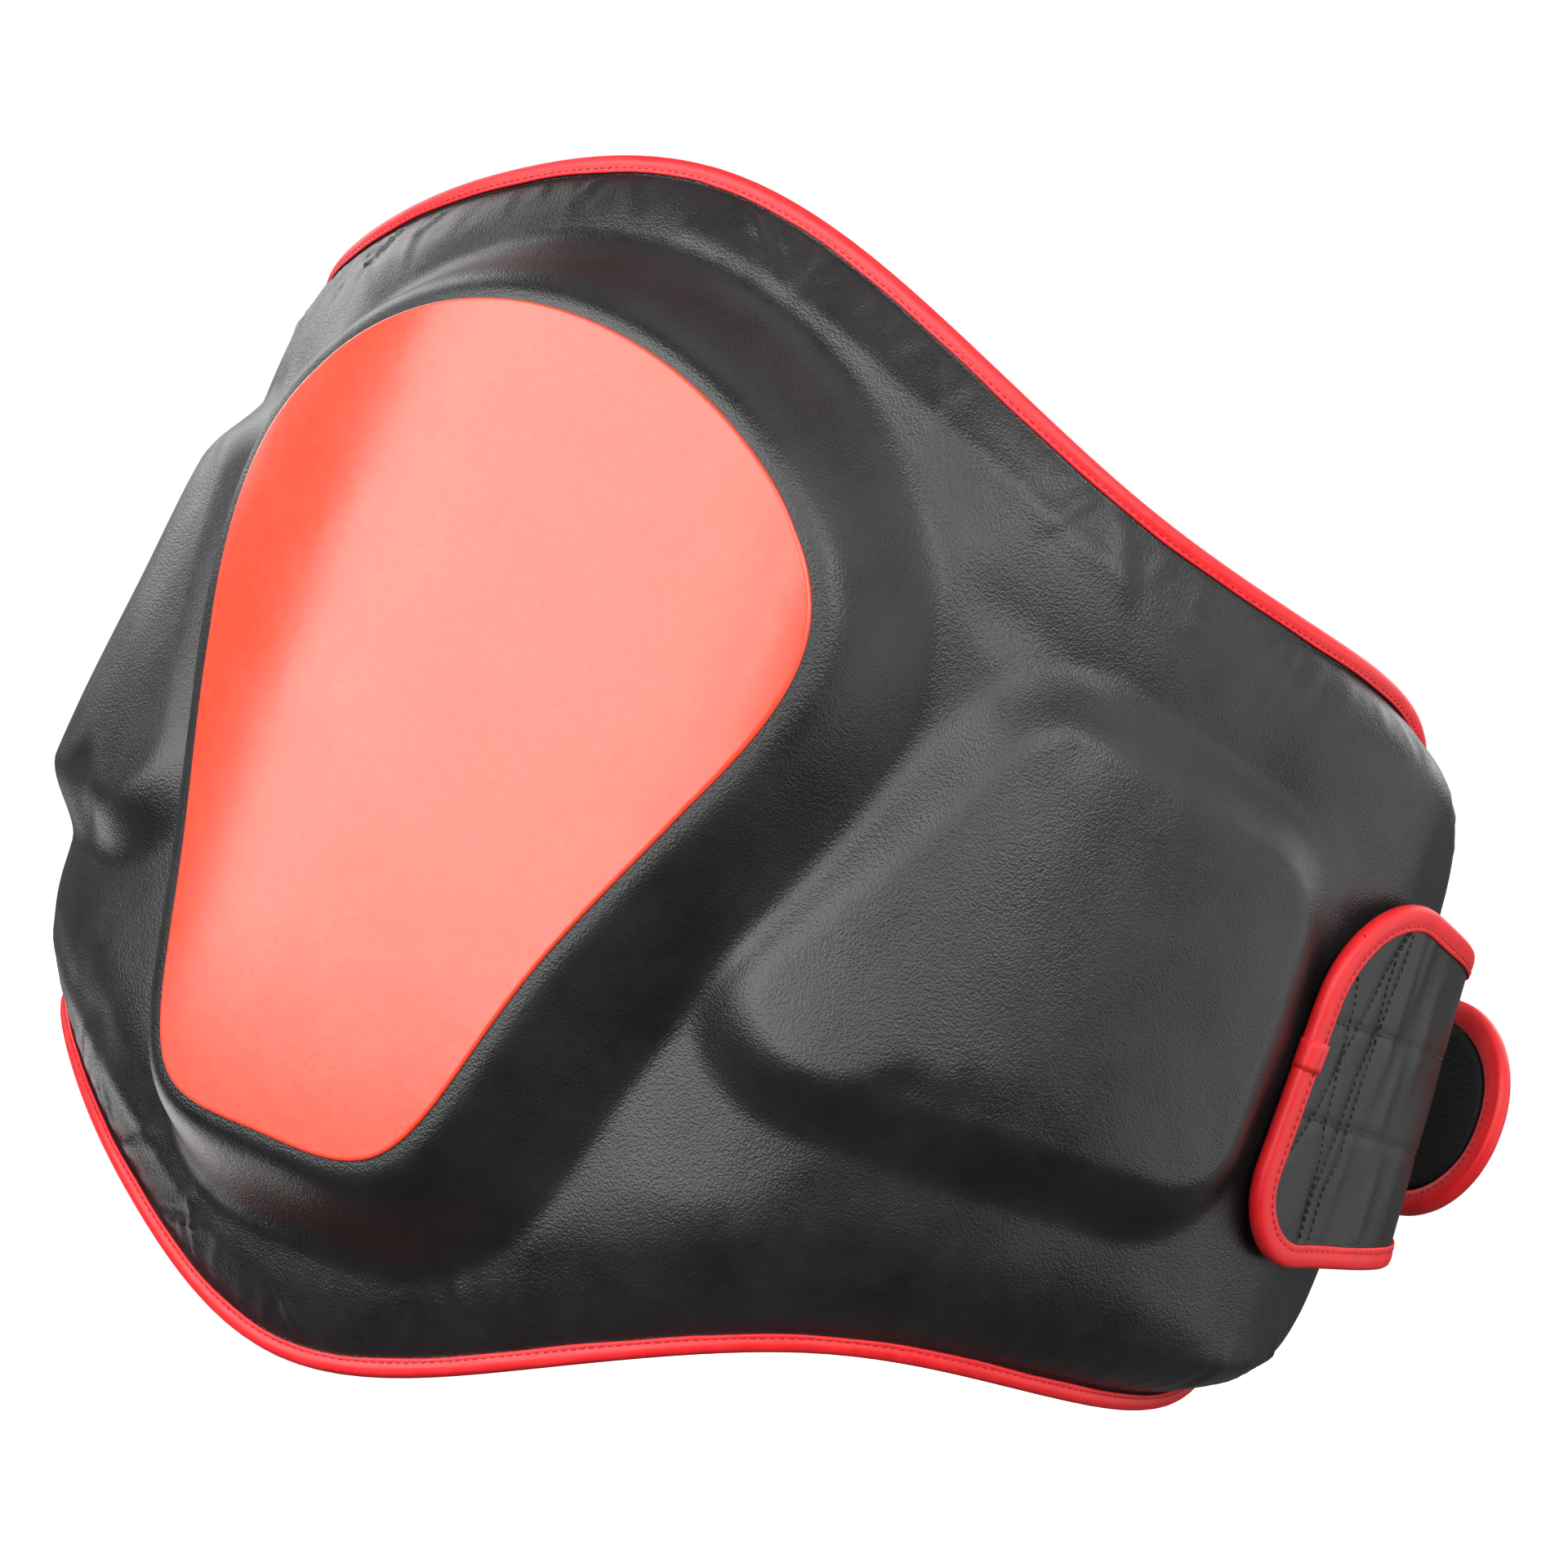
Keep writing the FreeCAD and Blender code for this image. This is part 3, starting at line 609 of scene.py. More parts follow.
class Stitching:
    """Rows of thread stitches, joined in one mesh."""

    RINGS = np.linspace(-1.0, 1.0, 7)
    SIDES = 6
    UNEVEN_PLACE, UNEVEN_LENGTH, UNEVEN_TURN = 0.08, (0.88, 1.08), 0.1

    def __init__(self, name, material, seed):
        self.name = name
        self.material = material
        self.rng = np.random.RandomState(seed)
        self.points = []
        self.faces = []

    def row(self, place, line, height, pitch=3.0, length=2.3, thick=0.5, closed=False, out=1.0):
        """Stitches along a line of (s, z) at a height; out is 1 or -1, the side they lie on."""
        ring, run = along_line(np.array(line, float), closed)
        count = max(1, int(run[-1] / pitch))
        for k in range(count):
            centre = (k + 0.5) * run[-1] / count + self.rng.normal(0.0, self.UNEVEN_PLACE)
            at = centre + self.RINGS * (length / 2 * self.rng.uniform(*self.UNEVEN_LENGTH))
            s, z = [np.interp(at, run, ring[:, axis]) for axis in (0, 1)]
            z = z + self.RINGS * self.rng.normal(0.0, self.UNEVEN_TURN)
            self.stitch(place(s, z, height), place(s, z, height + out), thick)

    def both_faces(self, place, line, low, high, **form):
        """The same row on the upper face of a layer, then on its lower face."""
        self.row(place, line, high, **form)
        self.row(place, line, low, out=-1.0, **form)

    def stitch(self, base, above, thick):
        """One bent capsule of thread whose ends go down into the layer."""
        up = (above - base) / MM
        ahead = np.gradient(base, axis=0)
        ahead /= np.linalg.norm(ahead, axis=1)[:, None]
        across = np.cross(ahead, up)
        lift = thick * (0.42 - 1.1 * self.RINGS ** 4)
        radius = thick / 2 * np.sqrt(1.0 - 0.85 * self.RINGS ** 6)
        turn = 2 * math.pi * np.arange(self.SIDES) / self.SIDES
        rise = lift[:, None] + radius[:, None] * np.sin(turn)
        aside = radius[:, None] * np.cos(turn)
        points = base[:, None] + MM * (up[:, None] * rise[..., None] + across[:, None] * aside[..., None])
        self.faces += tube_faces(len(self.points), len(self.RINGS), self.SIDES, False)
        self.points += points.reshape(-1, 3).tolist()

    def build(self):
        return tidy_mesh(mesh_object(self.name, self.points, self.faces, self.material), join=False)


# ---- materials

WAVE_SCALE = 1.0 / math.pi


class Shader:
    """A material made of nodes, on coordinates in metres."""

    def __init__(self, name):
        self.material = bpy.data.materials.new(name)
        self.material.use_nodes = True
        self.tree = self.material.node_tree
        self.surface = self.tree.nodes["Principled BSDF"]
        self.places = self.tree.nodes.new("ShaderNodeTexCoord").outputs["Object"]

    def node(self, kind, settings=None, **inputs):
        made = self.tree.nodes.new("ShaderNode" + kind)
        for key, value in (settings or {}).items():
            setattr(made, key, value)
        for key, value in inputs.items():
            self.feed(made.inputs[key.replace("_", " ")], value)
        return made

    def feed(self, socket, value):
        if isinstance(value, bpy.types.NodeSocket):
            self.tree.links.new(value, socket)
        else:
            socket.default_value = value

    def noise(self, size, detail=2.0, roughness=0.5, distortion=0.0):
        made = self.node("TexNoise", Vector=self.places, Scale=1.0 / (size * MM),
                         Detail=detail, Roughness=roughness, Distortion=distortion)
        return made.outputs["Fac"]

    def cells(self, size, feature="F1", randomness=1.0):
        made = self.node("TexVoronoi", {"feature": feature}, Vector=self.places,
                         Scale=1.0 / (size * MM), Randomness=randomness)
        return made.outputs["Distance"]

    def waves(self, size, direction, distortion=0.0):
        made = self.node("TexWave", {"bands_direction": direction}, Vector=self.places,
                         Scale=WAVE_SCALE / (size * MM), Distortion=distortion)
        return made.outputs["Fac"]

    def spread(self, value, low, high, to_low=0.0, to_high=1.0):
        made = self.node("MapRange", Value=value, From_Min=low, From_Max=high, To_Min=to_low,
                         To_Max=to_high)
        return made.outputs["Result"]

    def math(self, operation, a, b):
        made = self.node("Math", {"operation": operation})
        self.feed(made.inputs[0], a)
        self.feed(made.inputs[1], b)
        return made.outputs[0]

    def mix(self, share, a, b):
        made = self.node("Mix", {"data_type": "RGBA"})
        self.feed(made.inputs["Factor"], share)
        for socket, colour in ((6, a), (7, b)):
            self.feed(made.inputs[socket], (*colour, 1.0) if isinstance(colour, tuple) else colour)
        return made.outputs[2]

    def bumps(self, *layers):
        """Normal with bumps on one another, each as (height, depth in millimetres)."""
        normal = {}
        for height, depth in layers:
            made = self.node("Bump", Height=height, Distance=depth * MM, Strength=1.0, **normal)
            normal = {"Normal": made.outputs["Normal"]}
        return normal["Normal"]

    def finish(self, colour, roughness, normal, **extra):
        looks = {"Base_Color": colour, "Roughness": roughness, "Normal": normal, **extra}
        for key, value in looks.items():
            self.feed(self.surface.inputs[key.replace("_", " ")], value)
        return self.material


def leather(name, dark, light, grain, depth, gloss):
    """Synthetic leather: pebbled grain with fine pores, long soft mottling and worn high spots."""
    shader = Shader(name)
    pebbles = shader.cells(grain, "SMOOTH_F1")
    pores = shader.noise(grain / 3.0, 3.0, 0.6)
    mottle = shader.noise(34.0, 4.0, 0.6)
    streaks = shader.noise(6.0, 5.0, 0.65, 0.4)
    colour = shader.mix(shader.spread(mottle, 0.35, 0.7), dark, light)
    colour = shader.mix(shader.spread(streaks, 0.45, 0.8, 0.0, 0.5), colour, light)
    roughness = shader.math("ADD", shader.spread(mottle, 0.3, 0.7, gloss - 0.04, gloss + 0.05),
                            shader.spread(pebbles, 0.0, 0.8, 0.0, 0.08))
    normal = shader.bumps((shader.spread(pebbles, 0.1, 0.7, 1.0, 0.0), depth), (pores, depth * 0.35),
                          (streaks, depth * 0.6))
    return shader.finish(colour, roughness, normal, IOR=1.5)


def gloss_leather(name, dark, light):
    """Glossy coated leather of the centre panel, with a faint grain under the shine."""
    shader = Shader(name)
    grain = shader.cells(0.9, "SMOOTH_F1")
    peel = shader.noise(3.5, 3.0, 0.6)
    waves = shader.noise(26.0, 2.0, 0.5)
    colour = shader.mix(shader.spread(peel, 0.3, 0.75), dark, light)
    roughness = shader.spread(waves, 0.3, 0.7, 0.25, 0.32)
    normal = shader.bumps((waves, 0.35), (peel, 0.045),
                          (shader.spread(grain, 0.1, 0.7, 1.0, 0.0), 0.012))
    return shader.finish(colour, roughness, normal, IOR=1.5, Coat_Weight=0.35, Coat_Roughness=0.2)


def woven(name, dark, light, pitch, depth, roughness, sheen=0.15):
    """Plain weave of threads that cross along the height and the length."""
    shader = Shader(name)
    warp = shader.waves(pitch, "Z", 0.3)
    weft = shader.waves(pitch * 1.1, "X", 0.3)
    weft_back = shader.waves(pitch * 1.1, "Y", 0.3)
    cloth = shader.math("MULTIPLY", warp, shader.math("MAXIMUM", weft, weft_back))
    fuzz = shader.noise(pitch, 4.0, 0.7)
    stain = shader.noise(40.0, 3.0, 0.6)
    share = shader.math("MULTIPLY", cloth, shader.spread(fuzz, 0.2, 0.8, 0.6, 1.2))
    colour = shader.mix(share, dark, light)
    colour = shader.mix(shader.spread(stain, 0.4, 0.8, 0.0, 0.25), colour, dark)
    normal = shader.bumps((cloth, depth), (fuzz, depth * 0.5))
    return shader.finish(colour, shader.spread(fuzz, 0.2, 0.8, roughness - 0.08, roughness + 0.08),
                         normal, Sheen_Weight=sheen)


def binding_tape_material(name, dark, light):
    """Bright coated binding tape with a fine rib across it and scuffed high spots."""
    shader = Shader(name)
    rib = shader.cells(0.55, "SMOOTH_F1")
    scuff = shader.noise(9.0, 5.0, 0.65)
    tone = shader.noise(45.0, 2.0, 0.5)
    colour = shader.mix(shader.spread(scuff, 0.35, 0.75), dark, light)
    colour = shader.mix(shader.spread(tone, 0.4, 0.75, 0.0, 0.35), colour, dark)
    normal = shader.bumps((rib, 0.03), (scuff, 0.12))
    return shader.finish(colour, shader.spread(scuff, 0.3, 0.8, 0.42, 0.56), normal)


def thread(name, dark, light):
    """Twisted sewing thread."""
    shader = Shader(name)
    twist = shader.noise(0.35, 2.0, 0.5)
    colour = shader.mix(shader.spread(twist, 0.3, 0.7), dark, light)
    normal = shader.bumps((twist, 0.06))
    return shader.finish(colour, shader.spread(twist, 0.3, 0.7, 0.5, 0.7), normal)


def pile(name, dark, light, size, depth, roughness):
    """Hook or loop tape: a dense field of tiny hooks or fibres."""
    shader = Shader(name)
    tufts = shader.cells(size, "F1", 0.7)
    fuzz = shader.noise(size * 0.6, 5.0, 0.75)
    rows = shader.waves(size * 2.2, "Z", 0.6)
    share = shader.math("MULTIPLY", shader.spread(tufts, 0.0, 0.6, 1.0, 0.0), fuzz)
    colour = shader.mix(share, dark, light)
    normal = shader.bumps((shader.math("ADD", share, shader.math("MULTIPLY", rows, 0.3)), depth))
    fuzz_roughness = shader.spread(fuzz, 0.2, 0.8, roughness - 0.05, roughness + 0.05)
    return shader.finish(colour, fuzz_roughness, normal)


def ribbed_elastic(name, dark, light):
    """Elastic band: rubber threads under knitted ribs that run along the strap."""
    shader = Shader(name)
    ribs = shader.waves(2.4, "Z", 0.2)
    knit = shader.waves(0.9, "X", 0.6)
    fuzz = shader.noise(0.7, 4.0, 0.7)
    share = shader.math("MULTIPLY", ribs, shader.spread(knit, 0.0, 1.0, 0.6, 1.0))
    share = shader.math("MULTIPLY", share, shader.spread(fuzz, 0.2, 0.8, 0.7, 1.1))
    colour = shader.mix(share, dark, light)
    normal = shader.bumps((ribs, 0.35), (knit, 0.08))
    return shader.finish(colour, 0.7, normal, Sheen_Weight=0.2)


def foam(name, dark, light):
    """Closed-cell foam: skin broken by small cells, with a few larger voids."""
    shader = Shader(name)
    cells = shader.cells(0.8, "SMOOTH_F1")
    voids = shader.cells(4.5, "F1")
    tone = shader.noise(30.0, 3.0, 0.6)
    colour = shader.mix(shader.spread(tone, 0.3, 0.7), dark, light)
    colour = shader.mix(shader.spread(voids, 0.0, 0.25, 0.5, 0.0), colour, dark)
    normal = shader.bumps((cells, 0.15), (shader.spread(voids, 0.0, 0.3), 0.2))
    return shader.finish(colour, shader.spread(cells, 0.0, 0.8, 0.8, 0.92), normal)


COVER_LEATHER = leather("cover_leather", (0.0062, 0.0058, 0.0066), (0.0165, 0.0153, 0.0168),
                        grain=0.75, depth=0.10, gloss=0.31)
STRAP_LEATHER = leather("strap_leather", (0.0070, 0.0066, 0.0073), (0.0155, 0.0146, 0.0158),
                        grain=0.6, depth=0.06, gloss=0.34)
PANEL_LEATHER = gloss_leather("panel_leather", (0.93, 0.052, 0.020), (1.0, 0.070, 0.030))
LINING_CLOTH = woven("lining_cloth", (0.006, 0.006, 0.007), (0.028, 0.028, 0.030), 0.9, 0.10, 0.72)
TAPE_RED = binding_tape_material("binding_tape", (0.74, 0.010, 0.015), (0.90, 0.018, 0.024))
THREAD_RED = thread("red_thread", (0.26, 0.006, 0.010), (0.48, 0.016, 0.020))
THREAD_BLACK = thread("black_thread", (0.004, 0.004, 0.004), (0.020, 0.020, 0.021))
HOOK = pile("hook_tape", (0.0008, 0.0008, 0.0008), (0.0040, 0.0040, 0.0042), 1.2, 0.3, 0.9)
LOOP = pile("loop_tape", (0.006, 0.006, 0.006), (0.040, 0.040, 0.042), 0.9, 0.5, 0.9)
ELASTIC = ribbed_elastic("elastic", (0.006, 0.006, 0.006), (0.036, 0.036, 0.038))
SOFT_FOAM = foam("soft_foam", (0.55, 0.53, 0.44), (0.74, 0.72, 0.62))
DENSE_FOAM = foam("dense_foam", (0.040, 0.040, 0.044), (0.085, 0.085, 0.090))


def placed(piece, body, replaced=()):
    if replaced:
        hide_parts(*replaced)
    if isinstance(body, str):
        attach(piece, body)
    else:
        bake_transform(piece)
    return piece


# ---- the pad

EDGE_RINGS = (1.0, 3.0, 4.6, 5.6, 6.4, 7.4, 8.6, 10.2, 12.0, 13.6, 15.4, 17.4, 19.6, 21.8, 24.0, 26.4)
PAD_RINGS = EDGE_RINGS
PANEL_RINGS = (0.0, 0.15, 0.4, 0.8, 1.3)
LINING_RINGS = (1.0, 5.0, 7.6, 10.0, 13.0, 17.0, 22.0)
LINING_PUFF, LINING_REACH = 1.6, 16.0
LINING_WAVE, LINING_WAVE_SIZE, LINING_WAVE_SEED, LINING_WAVE_REACH = 0.3, 60.0, 11, 20.0
BINDING_STEP = 3.0
STITCH_INSET = 5.4
PAD_STITCH_INSET = 3.8
# heights of the tape's sewing from the faces it folds over, and the two thicknesses of thread
TAPE_FACE = TAPE_GAP + TAPE - 0.18
LOWER_LEVEL = -(TAPE_GAP + TAPE) + 0.1
THIN, THICK = 0.42, 0.55


def make_cover(swell):
    def top(s, z):
        return cover_relief(s, z) + swell(s, z)

    cover = slab("pad_cover", pad_place, PAD_EDGE, above(top, -COVER_THICK), top, COVER_LEATHER,
                 COVER_STEP, PAD_RINGS)
    placed(cover, "pad", ["front_cover"])


def make_panel():
    low = above(base_relief, PANEL_GAP)
    panel = slab("panel_face", pad_place, PANEL_EDGE, low, above(low, PANEL_THICK), PANEL_LEATHER,
                 FINE_STEP * 1.4, PANEL_RINGS, round_rim=0.8)
    placed(panel, "pad", ["centre_panel"])


def lining_face(s, z):
    """Inner face of the lining, which swells softly over the comfort foam."""
    inside, _ = edge_distance(np.stack([s, z], -1), PAD_EDGE)
    waves = LINING_WAVE * slow_noise(s, z, LINING_WAVE_SIZE, LINING_WAVE_SEED)
    waves *= ease((inside - FLANGE_WIDTH) / LINING_WAVE_REACH)
    return -LINING_PUFF * ease((inside - FLANGE_WIDTH) / LINING_REACH) - waves


def make_lining():
    lining = slab("pad_lining", pad_place, PAD_EDGE, lining_face, above(lining_face, LINING_THICK),
                  LINING_CLOTH, COVER_STEP * 1.4, LINING_RINGS)
    placed(lining, "pad", ["back_liner"])


def make_pad_binding():
    line = resample(PAD_EDGE, BINDING_STEP, True)
    binding = tape("pad_binding", pad_place, line, True, 0.0, FLANGE_HEIGHT, width=PAD_TAPE_WIDTH)
    placed(binding, "pad", ["edge_binding"])
    rows = Stitching("pad_binding_stitches", THREAD_RED, 21)
    seam = inset_line(line, PAD_STITCH_INSET)
    rows.both_faces(pad_place, seam, LOWER_LEVEL, FLANGE_HEIGHT + TAPE_FACE, closed=True, thick=THIN)
    sewing = placed(rows.build(), "pad")
    ring = tape_section(0.0, FLANGE_HEIGHT, PAD_TAPE_WIDTH)
    strip = MM * along_line(ring, True)[1][-1] / 2


def finish_foam():
    """Foam colours for the CAD bodies that no visual piece replaces."""
    for name in ("comfort_foam", "moulded_foam", "centre_core", "right_wing_core", "left_wing_core"):
        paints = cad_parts[name].data.materials
        paints.clear()
        paints.append(SOFT_FOAM if name == "comfort_foam" else DENSE_FOAM)


# ---- flap and strap

EDGE_STEP = 2.0
CORNER_POINTS = 24
FLAP_BLEND = ("pad", "flap", (0.214, 0.252, 0.0), (0.2385, 0.238, 0.0))
SEAM_BLEND = ("pad", "strap_base", (-0.1995, 0.236, 0.0), (-0.182, 0.276, 0.0))
STRETCH_BLEND = ("strap_base", "strap_end", (-0.060, 0.335, 0.0), (0.060, 0.335, 0.0))


def half_edge(start, finish, half_start, half_finish, corner):
    """Upper edge of a strap from its root, round one corner, to the middle of its end."""
    slope = (half_finish - half_start) / (finish - start)
    lean = math.atan(slope)
    centre_s = finish - corner
    centre_z = half_start + (centre_s - start) * slope - corner / math.cos(lean)
    angles = np.linspace(math.pi / 2 + lean, 0.0, CORNER_POINTS)
    arc = np.stack([centre_s + corner * np.cos(angles), centre_z + corner * np.sin(angles)], -1)
    return np.vstack([[(start, half_start)], arc, [(finish, 0.0)]])


def free_edge(start, finish, half_start, half_finish, corners):
    """Top, round end and bottom edge of a strap's free end, as a line open at its root."""
    top, low = [half_edge(start, finish, half_start, half_finish, c) for c in corners]
    line = np.vstack([top, (low * (1, -1))[::-1][1:]])
    return resample(line + (0, STRAP_Z), EDGE_STEP, False)


FLAP_FREE = free_edge(FLAP_SPLIT, FLAP_END, FLAP_ROOT_HALF, FLAP_TIP_HALF,
                      (FLAP_TOP_CORNER, FLAP_LOW_CORNER))
FLAP_EDGE = resample(np.vstack([
    [(0.0, STRAP_Z + FLAP_ROOT_HALF)], FLAP_FREE, [(0.0, STRAP_Z - FLAP_ROOT_HALF)]]),
    EDGE_STEP, False)
STRAP_EDGE = free_edge(ELASTIC_END, STRAP_END, STRAP_HALF, STRAP_HALF, (STRAP_TIP_RADIUS,) * 2)

# Rows of sewing on the flap's face, as (s, z) down each row.
FLAP_CROSS_ROWS = [
    [(96, 16), (158, 16.2), (186, 15.2)],
    [(96, -17), (154, -17), (168, -17.2), (186, -17)],
]
FLAP_LONG_ROWS = [
    [(157, 55), (161.5, 44), (161, 32), (158, 18), (159.8, 2), (159.6, -18), (161, -40), (159, -56)],
    [(156.5, 55), (155.8, 40), (156.4, 29), (155.8, 2), (154, -17), (152.6, -28), (155.4, -39),
     (153.4, -56)],
    [(184, 46), (180, 33.5), (176, 23), (172.5, 4), (168, -19), (164.4, -28), (159.2, -56)],
    [(158.5, 55), (164.7, 38), (166.6, 27), (172.4, 5), (176, -15), (182, -30), (186, -33.5)],
]
# Folds as (s, width, height, z of the middle); they lean, and fade with distance from the middle.
FLAP_FOLDS = [
    (146.0, 3.6, 0.6, 12.0), (137.0, 4.2, 0.9, -8.0), (126.5, 4.6, 0.9, 20.0),
    (150.5, 2.6, 0.5, -32.0), (148.0, 3.0, 0.6, 38.0), (117.0, 5.0, 0.6, -25.0),
    (131.0, 3.4, 0.8, -40.0), (141.0, 3.0, 0.6, 46.0),
]
FOLD_LEAN, FOLD_REACH = 0.03, 22.0
FLAP_WAVE, FLAP_WAVE_SIZE, FLAP_WAVE_SEED = 0.12, 24.0, 31
FLAP_CALM, FLAP_FREE_REACH = 4.0, 6.0
FLAP_OFF_FROM, FLAP_OFF_RISE = 48.0, 36.0
FLAP_OFF_UNTIL, FLAP_OFF_REACH, FLAP_OFF_FALL = 96.0, 60.0, 0.9
FLAP_STAND_OFF = 1.6
FLAP_LEAN = 0.08
FLAP_LAP_Z, FLAP_LAP_HALF, FLAP_LAP_LIFT = 3.0, 6.0, 0.4
BOX_NEAR, BOX_FAR, BOX_INSET = 5.0, 25.0, 11.0
SEAM_INSETS = (3.0, 9.0)
THREAD_DIP, THREAD_DIP_WIDTH = 0.4, 1.7


def flap_place(s, z, h):
    """Places on the flap, which stands off round its fold, most of all low down."""
    rise = ease((s - FLAP_OFF_FROM) / FLAP_OFF_RISE)
    fall = 1.0 - FLAP_OFF_FALL * ease((s - FLAP_OFF_UNTIL) / FLAP_OFF_REACH)
    off = FLAP_STAND_OFF + FLAP_LEAN * np.maximum(FLAP_ROOT_HALF - z, 0.0)
    return FLAP.place(s, z, h + off * rise * fall)


def flap_face(s, z):
    """Face of the flap: soft upright folds, and dips along the sewing."""
    places = np.stack([s, z], -1)
    relief = FLAP_WAVE * slow_noise(s, z, FLAP_WAVE_SIZE, FLAP_WAVE_SEED)
    for at, width, height, middle in FLAP_FOLDS:
        relief = relief + height * bell(s - at - FOLD_LEAN * z, width) * bell(z - middle, FOLD_REACH)
    for row in FLAP_CROSS_ROWS + FLAP_LONG_ROWS:
        near = line_distance(places, np.array(row, float))
        relief = relief - THREAD_DIP * bell(near, THREAD_DIP_WIDTH)
    inside, _ = edge_distance(places, FLAP_EDGE)
    return STRAP_THICK + relief * ease((inside - FLAP_CALM) / FLAP_FREE_REACH)


def make_flap():
    body = slab("flap_leather", flap_place, FLAP_EDGE, level(0.0), flap_face, STRAP_LEATHER,
                rings=(0.4, 3.0, 6.5, 8.5))
    placed(body, FLAP_BLEND,
           ["flap_root_back", "flap_root_web", "flap_root_face", "flap_back", "flap_web", "flap_face"])
    binding = tape("flap_binding_tape", flap_place, FLAP_EDGE, False, 0.0, STRAP_THICK)
    placed(binding, FLAP_BLEND, ["flap_root_binding", "flap_binding"])
    beside = np.abs(FLAP_EDGE[:, 1] - FLAP_LAP_Z) < FLAP_LAP_HALF
    lap = FLAP_EDGE[beside & (FLAP_EDGE[:, 0] > FLAP_END - 1.0)]
    lapped = tape("flap_tape_lap", flap_place, lap, False, -FLAP_LAP_LIFT, STRAP_THICK + FLAP_LAP_LIFT,
                  wobble=0.5, width=TAPE_WIDTH + FLAP_LAP_LIFT)
    placed(lapped, "flap")
    patch = slab("flap_loop_face", flap_place, inset_line(FLAP_FREE, FLAP_PATCH_INSET, False),
                 level(-PATCH_GAP - PATCH), level(-PATCH_GAP), LOOP)
    placed(patch, "flap", ["flap_loop_patch"])
    red = Stitching("flap_binding_stitches", THREAD_RED, 22)
    seam = inset_line(FLAP_EDGE, STITCH_INSET, False)
    red.both_faces(flap_place, seam, LOWER_LEVEL, STRAP_THICK + TAPE_FACE, thick=THIN)
    sewing = placed(red.build(), FLAP_BLEND)
    black = Stitching("flap_stitches", THREAD_BLACK, 23)
    for row in FLAP_CROSS_ROWS:
        black.row(flap_place, row, STRAP_THICK - THREAD_DIP, pitch=3.3, length=2.4, thick=THICK)
    for row in FLAP_LONG_ROWS:
        black.row(flap_place, row, STRAP_THICK - THREAD_DIP, pitch=2.8, length=2.1)
    for row in box_rows(FLAP_ROOT_HALF):
        black.row(flap_place, row, STRAP_THICK, thick=THICK)
    rows = placed(black.build(), FLAP_BLEND)


def box_rows(half):
    """Sewing of a strap's root to the pad: a long box with a cross in it."""
    near, far = BOX_NEAR, BOX_FAR
    low, high = STRAP_Z - half + BOX_INSET, STRAP_Z + half - BOX_INSET
    box = [(near, low), (near, high), (far, high), (far, low), (near, low)]
    return [box, [(near, low), (far, high)], [(near, high), (far, low)]]


def cross_rows(at, half):
    """Two rows of sewing across a strap, on its two sides of a seam."""
    low, high = STRAP_Z - half + BOX_INSET, STRAP_Z + half - BOX_INSET
    return [[(s, low), (s, high)] for s in at]


def strap_leather(name, outline, body, replaced, **form):
    made = slab(name, STRAP.place, outline, level(-STRAP_THICK), level(0.0), STRAP_LEATHER,
                step=2.5, **form)
    return placed(made, body, replaced)


def strap_tape(name, edge, body, replaced, sewing):
    """Tape over an edge of the strap; its rows of thread are added to the sewing."""
    binding = tape(name, STRAP.place, edge, False, -STRAP_THICK, 0.0)
    seam = inset_line(edge, STITCH_INSET, False)
    sewing.both_faces(STRAP.place, seam, LOWER_LEVEL - STRAP_THICK, TAPE_FACE, thick=THIN)
    return placed(binding, body, replaced)


def strap_seams(name, seed, body, boxes, across):
    """Black sewing of a strap piece: boxes on its inner face, and rows across both faces."""
    black = Stitching(name, THREAD_BLACK, seed)
    for row in boxes:
        black.row(STRAP.place, row, -STRAP_THICK, thick=THICK, out=-1.0)
    for row in cross_rows(across, STRAP_HALF):
        black.both_faces(STRAP.place, row, -STRAP_THICK, 0.0, thick=THICK)
    return placed(black.build(), body)


def strip_outline(start, end, half):
    """Outline of a straight piece of the strap."""
    low, high = STRAP_Z - half, STRAP_Z + half
    return np.array([(start, low), (start, high), (end, high), (end, low)])


def make_strap_base():
    outline = strip_outline(0.0, ELASTIC_START, STRAP_HALF)
    body = strap_leather("strap_base_leather", outline, SEAM_BLEND,
                         ["strap_root_outer", "strap_root_web", "strap_root_inner",
                          "strap_base_outer", "strap_base_web", "strap_base_inner"])
    run = np.arange(0.0, ELASTIC_START, EDGE_STEP)
    red = Stitching("strap_base_stitches", THREAD_RED, 24)
    upper = np.stack([run, np.full(len(run), STRAP_Z + STRAP_HALF)], -1)
    lower = np.stack([run[::-1], np.full(len(run), STRAP_Z - STRAP_HALF)], -1)
    trims = [strap_tape("strap_base_tape_upper", upper, SEAM_BLEND,
                        ["strap_root_binding", "strap_base_binding"], red),
             strap_tape("strap_base_tape_lower", lower, SEAM_BLEND, [], red)]
    trims.append(placed(red.build(), SEAM_BLEND))
    across = [ELASTIC_START - inset for inset in SEAM_INSETS]
    trims.append(strap_seams("strap_base_seams", 26, SEAM_BLEND, box_rows(STRAP_HALF), across))


def make_elastic():
    outline = strip_outline(ELASTIC_START - ELASTIC_LAP, ELASTIC_END + ELASTIC_LAP,
                            STRAP_HALF - WEB_INSET)
    band = slab("strap_elastic_band", STRAP.place, outline, level(-WEB[1]), level(-WEB[0]), ELASTIC,
                step=2.0)
    placed(band, STRETCH_BLEND, ["strap_elastic"])


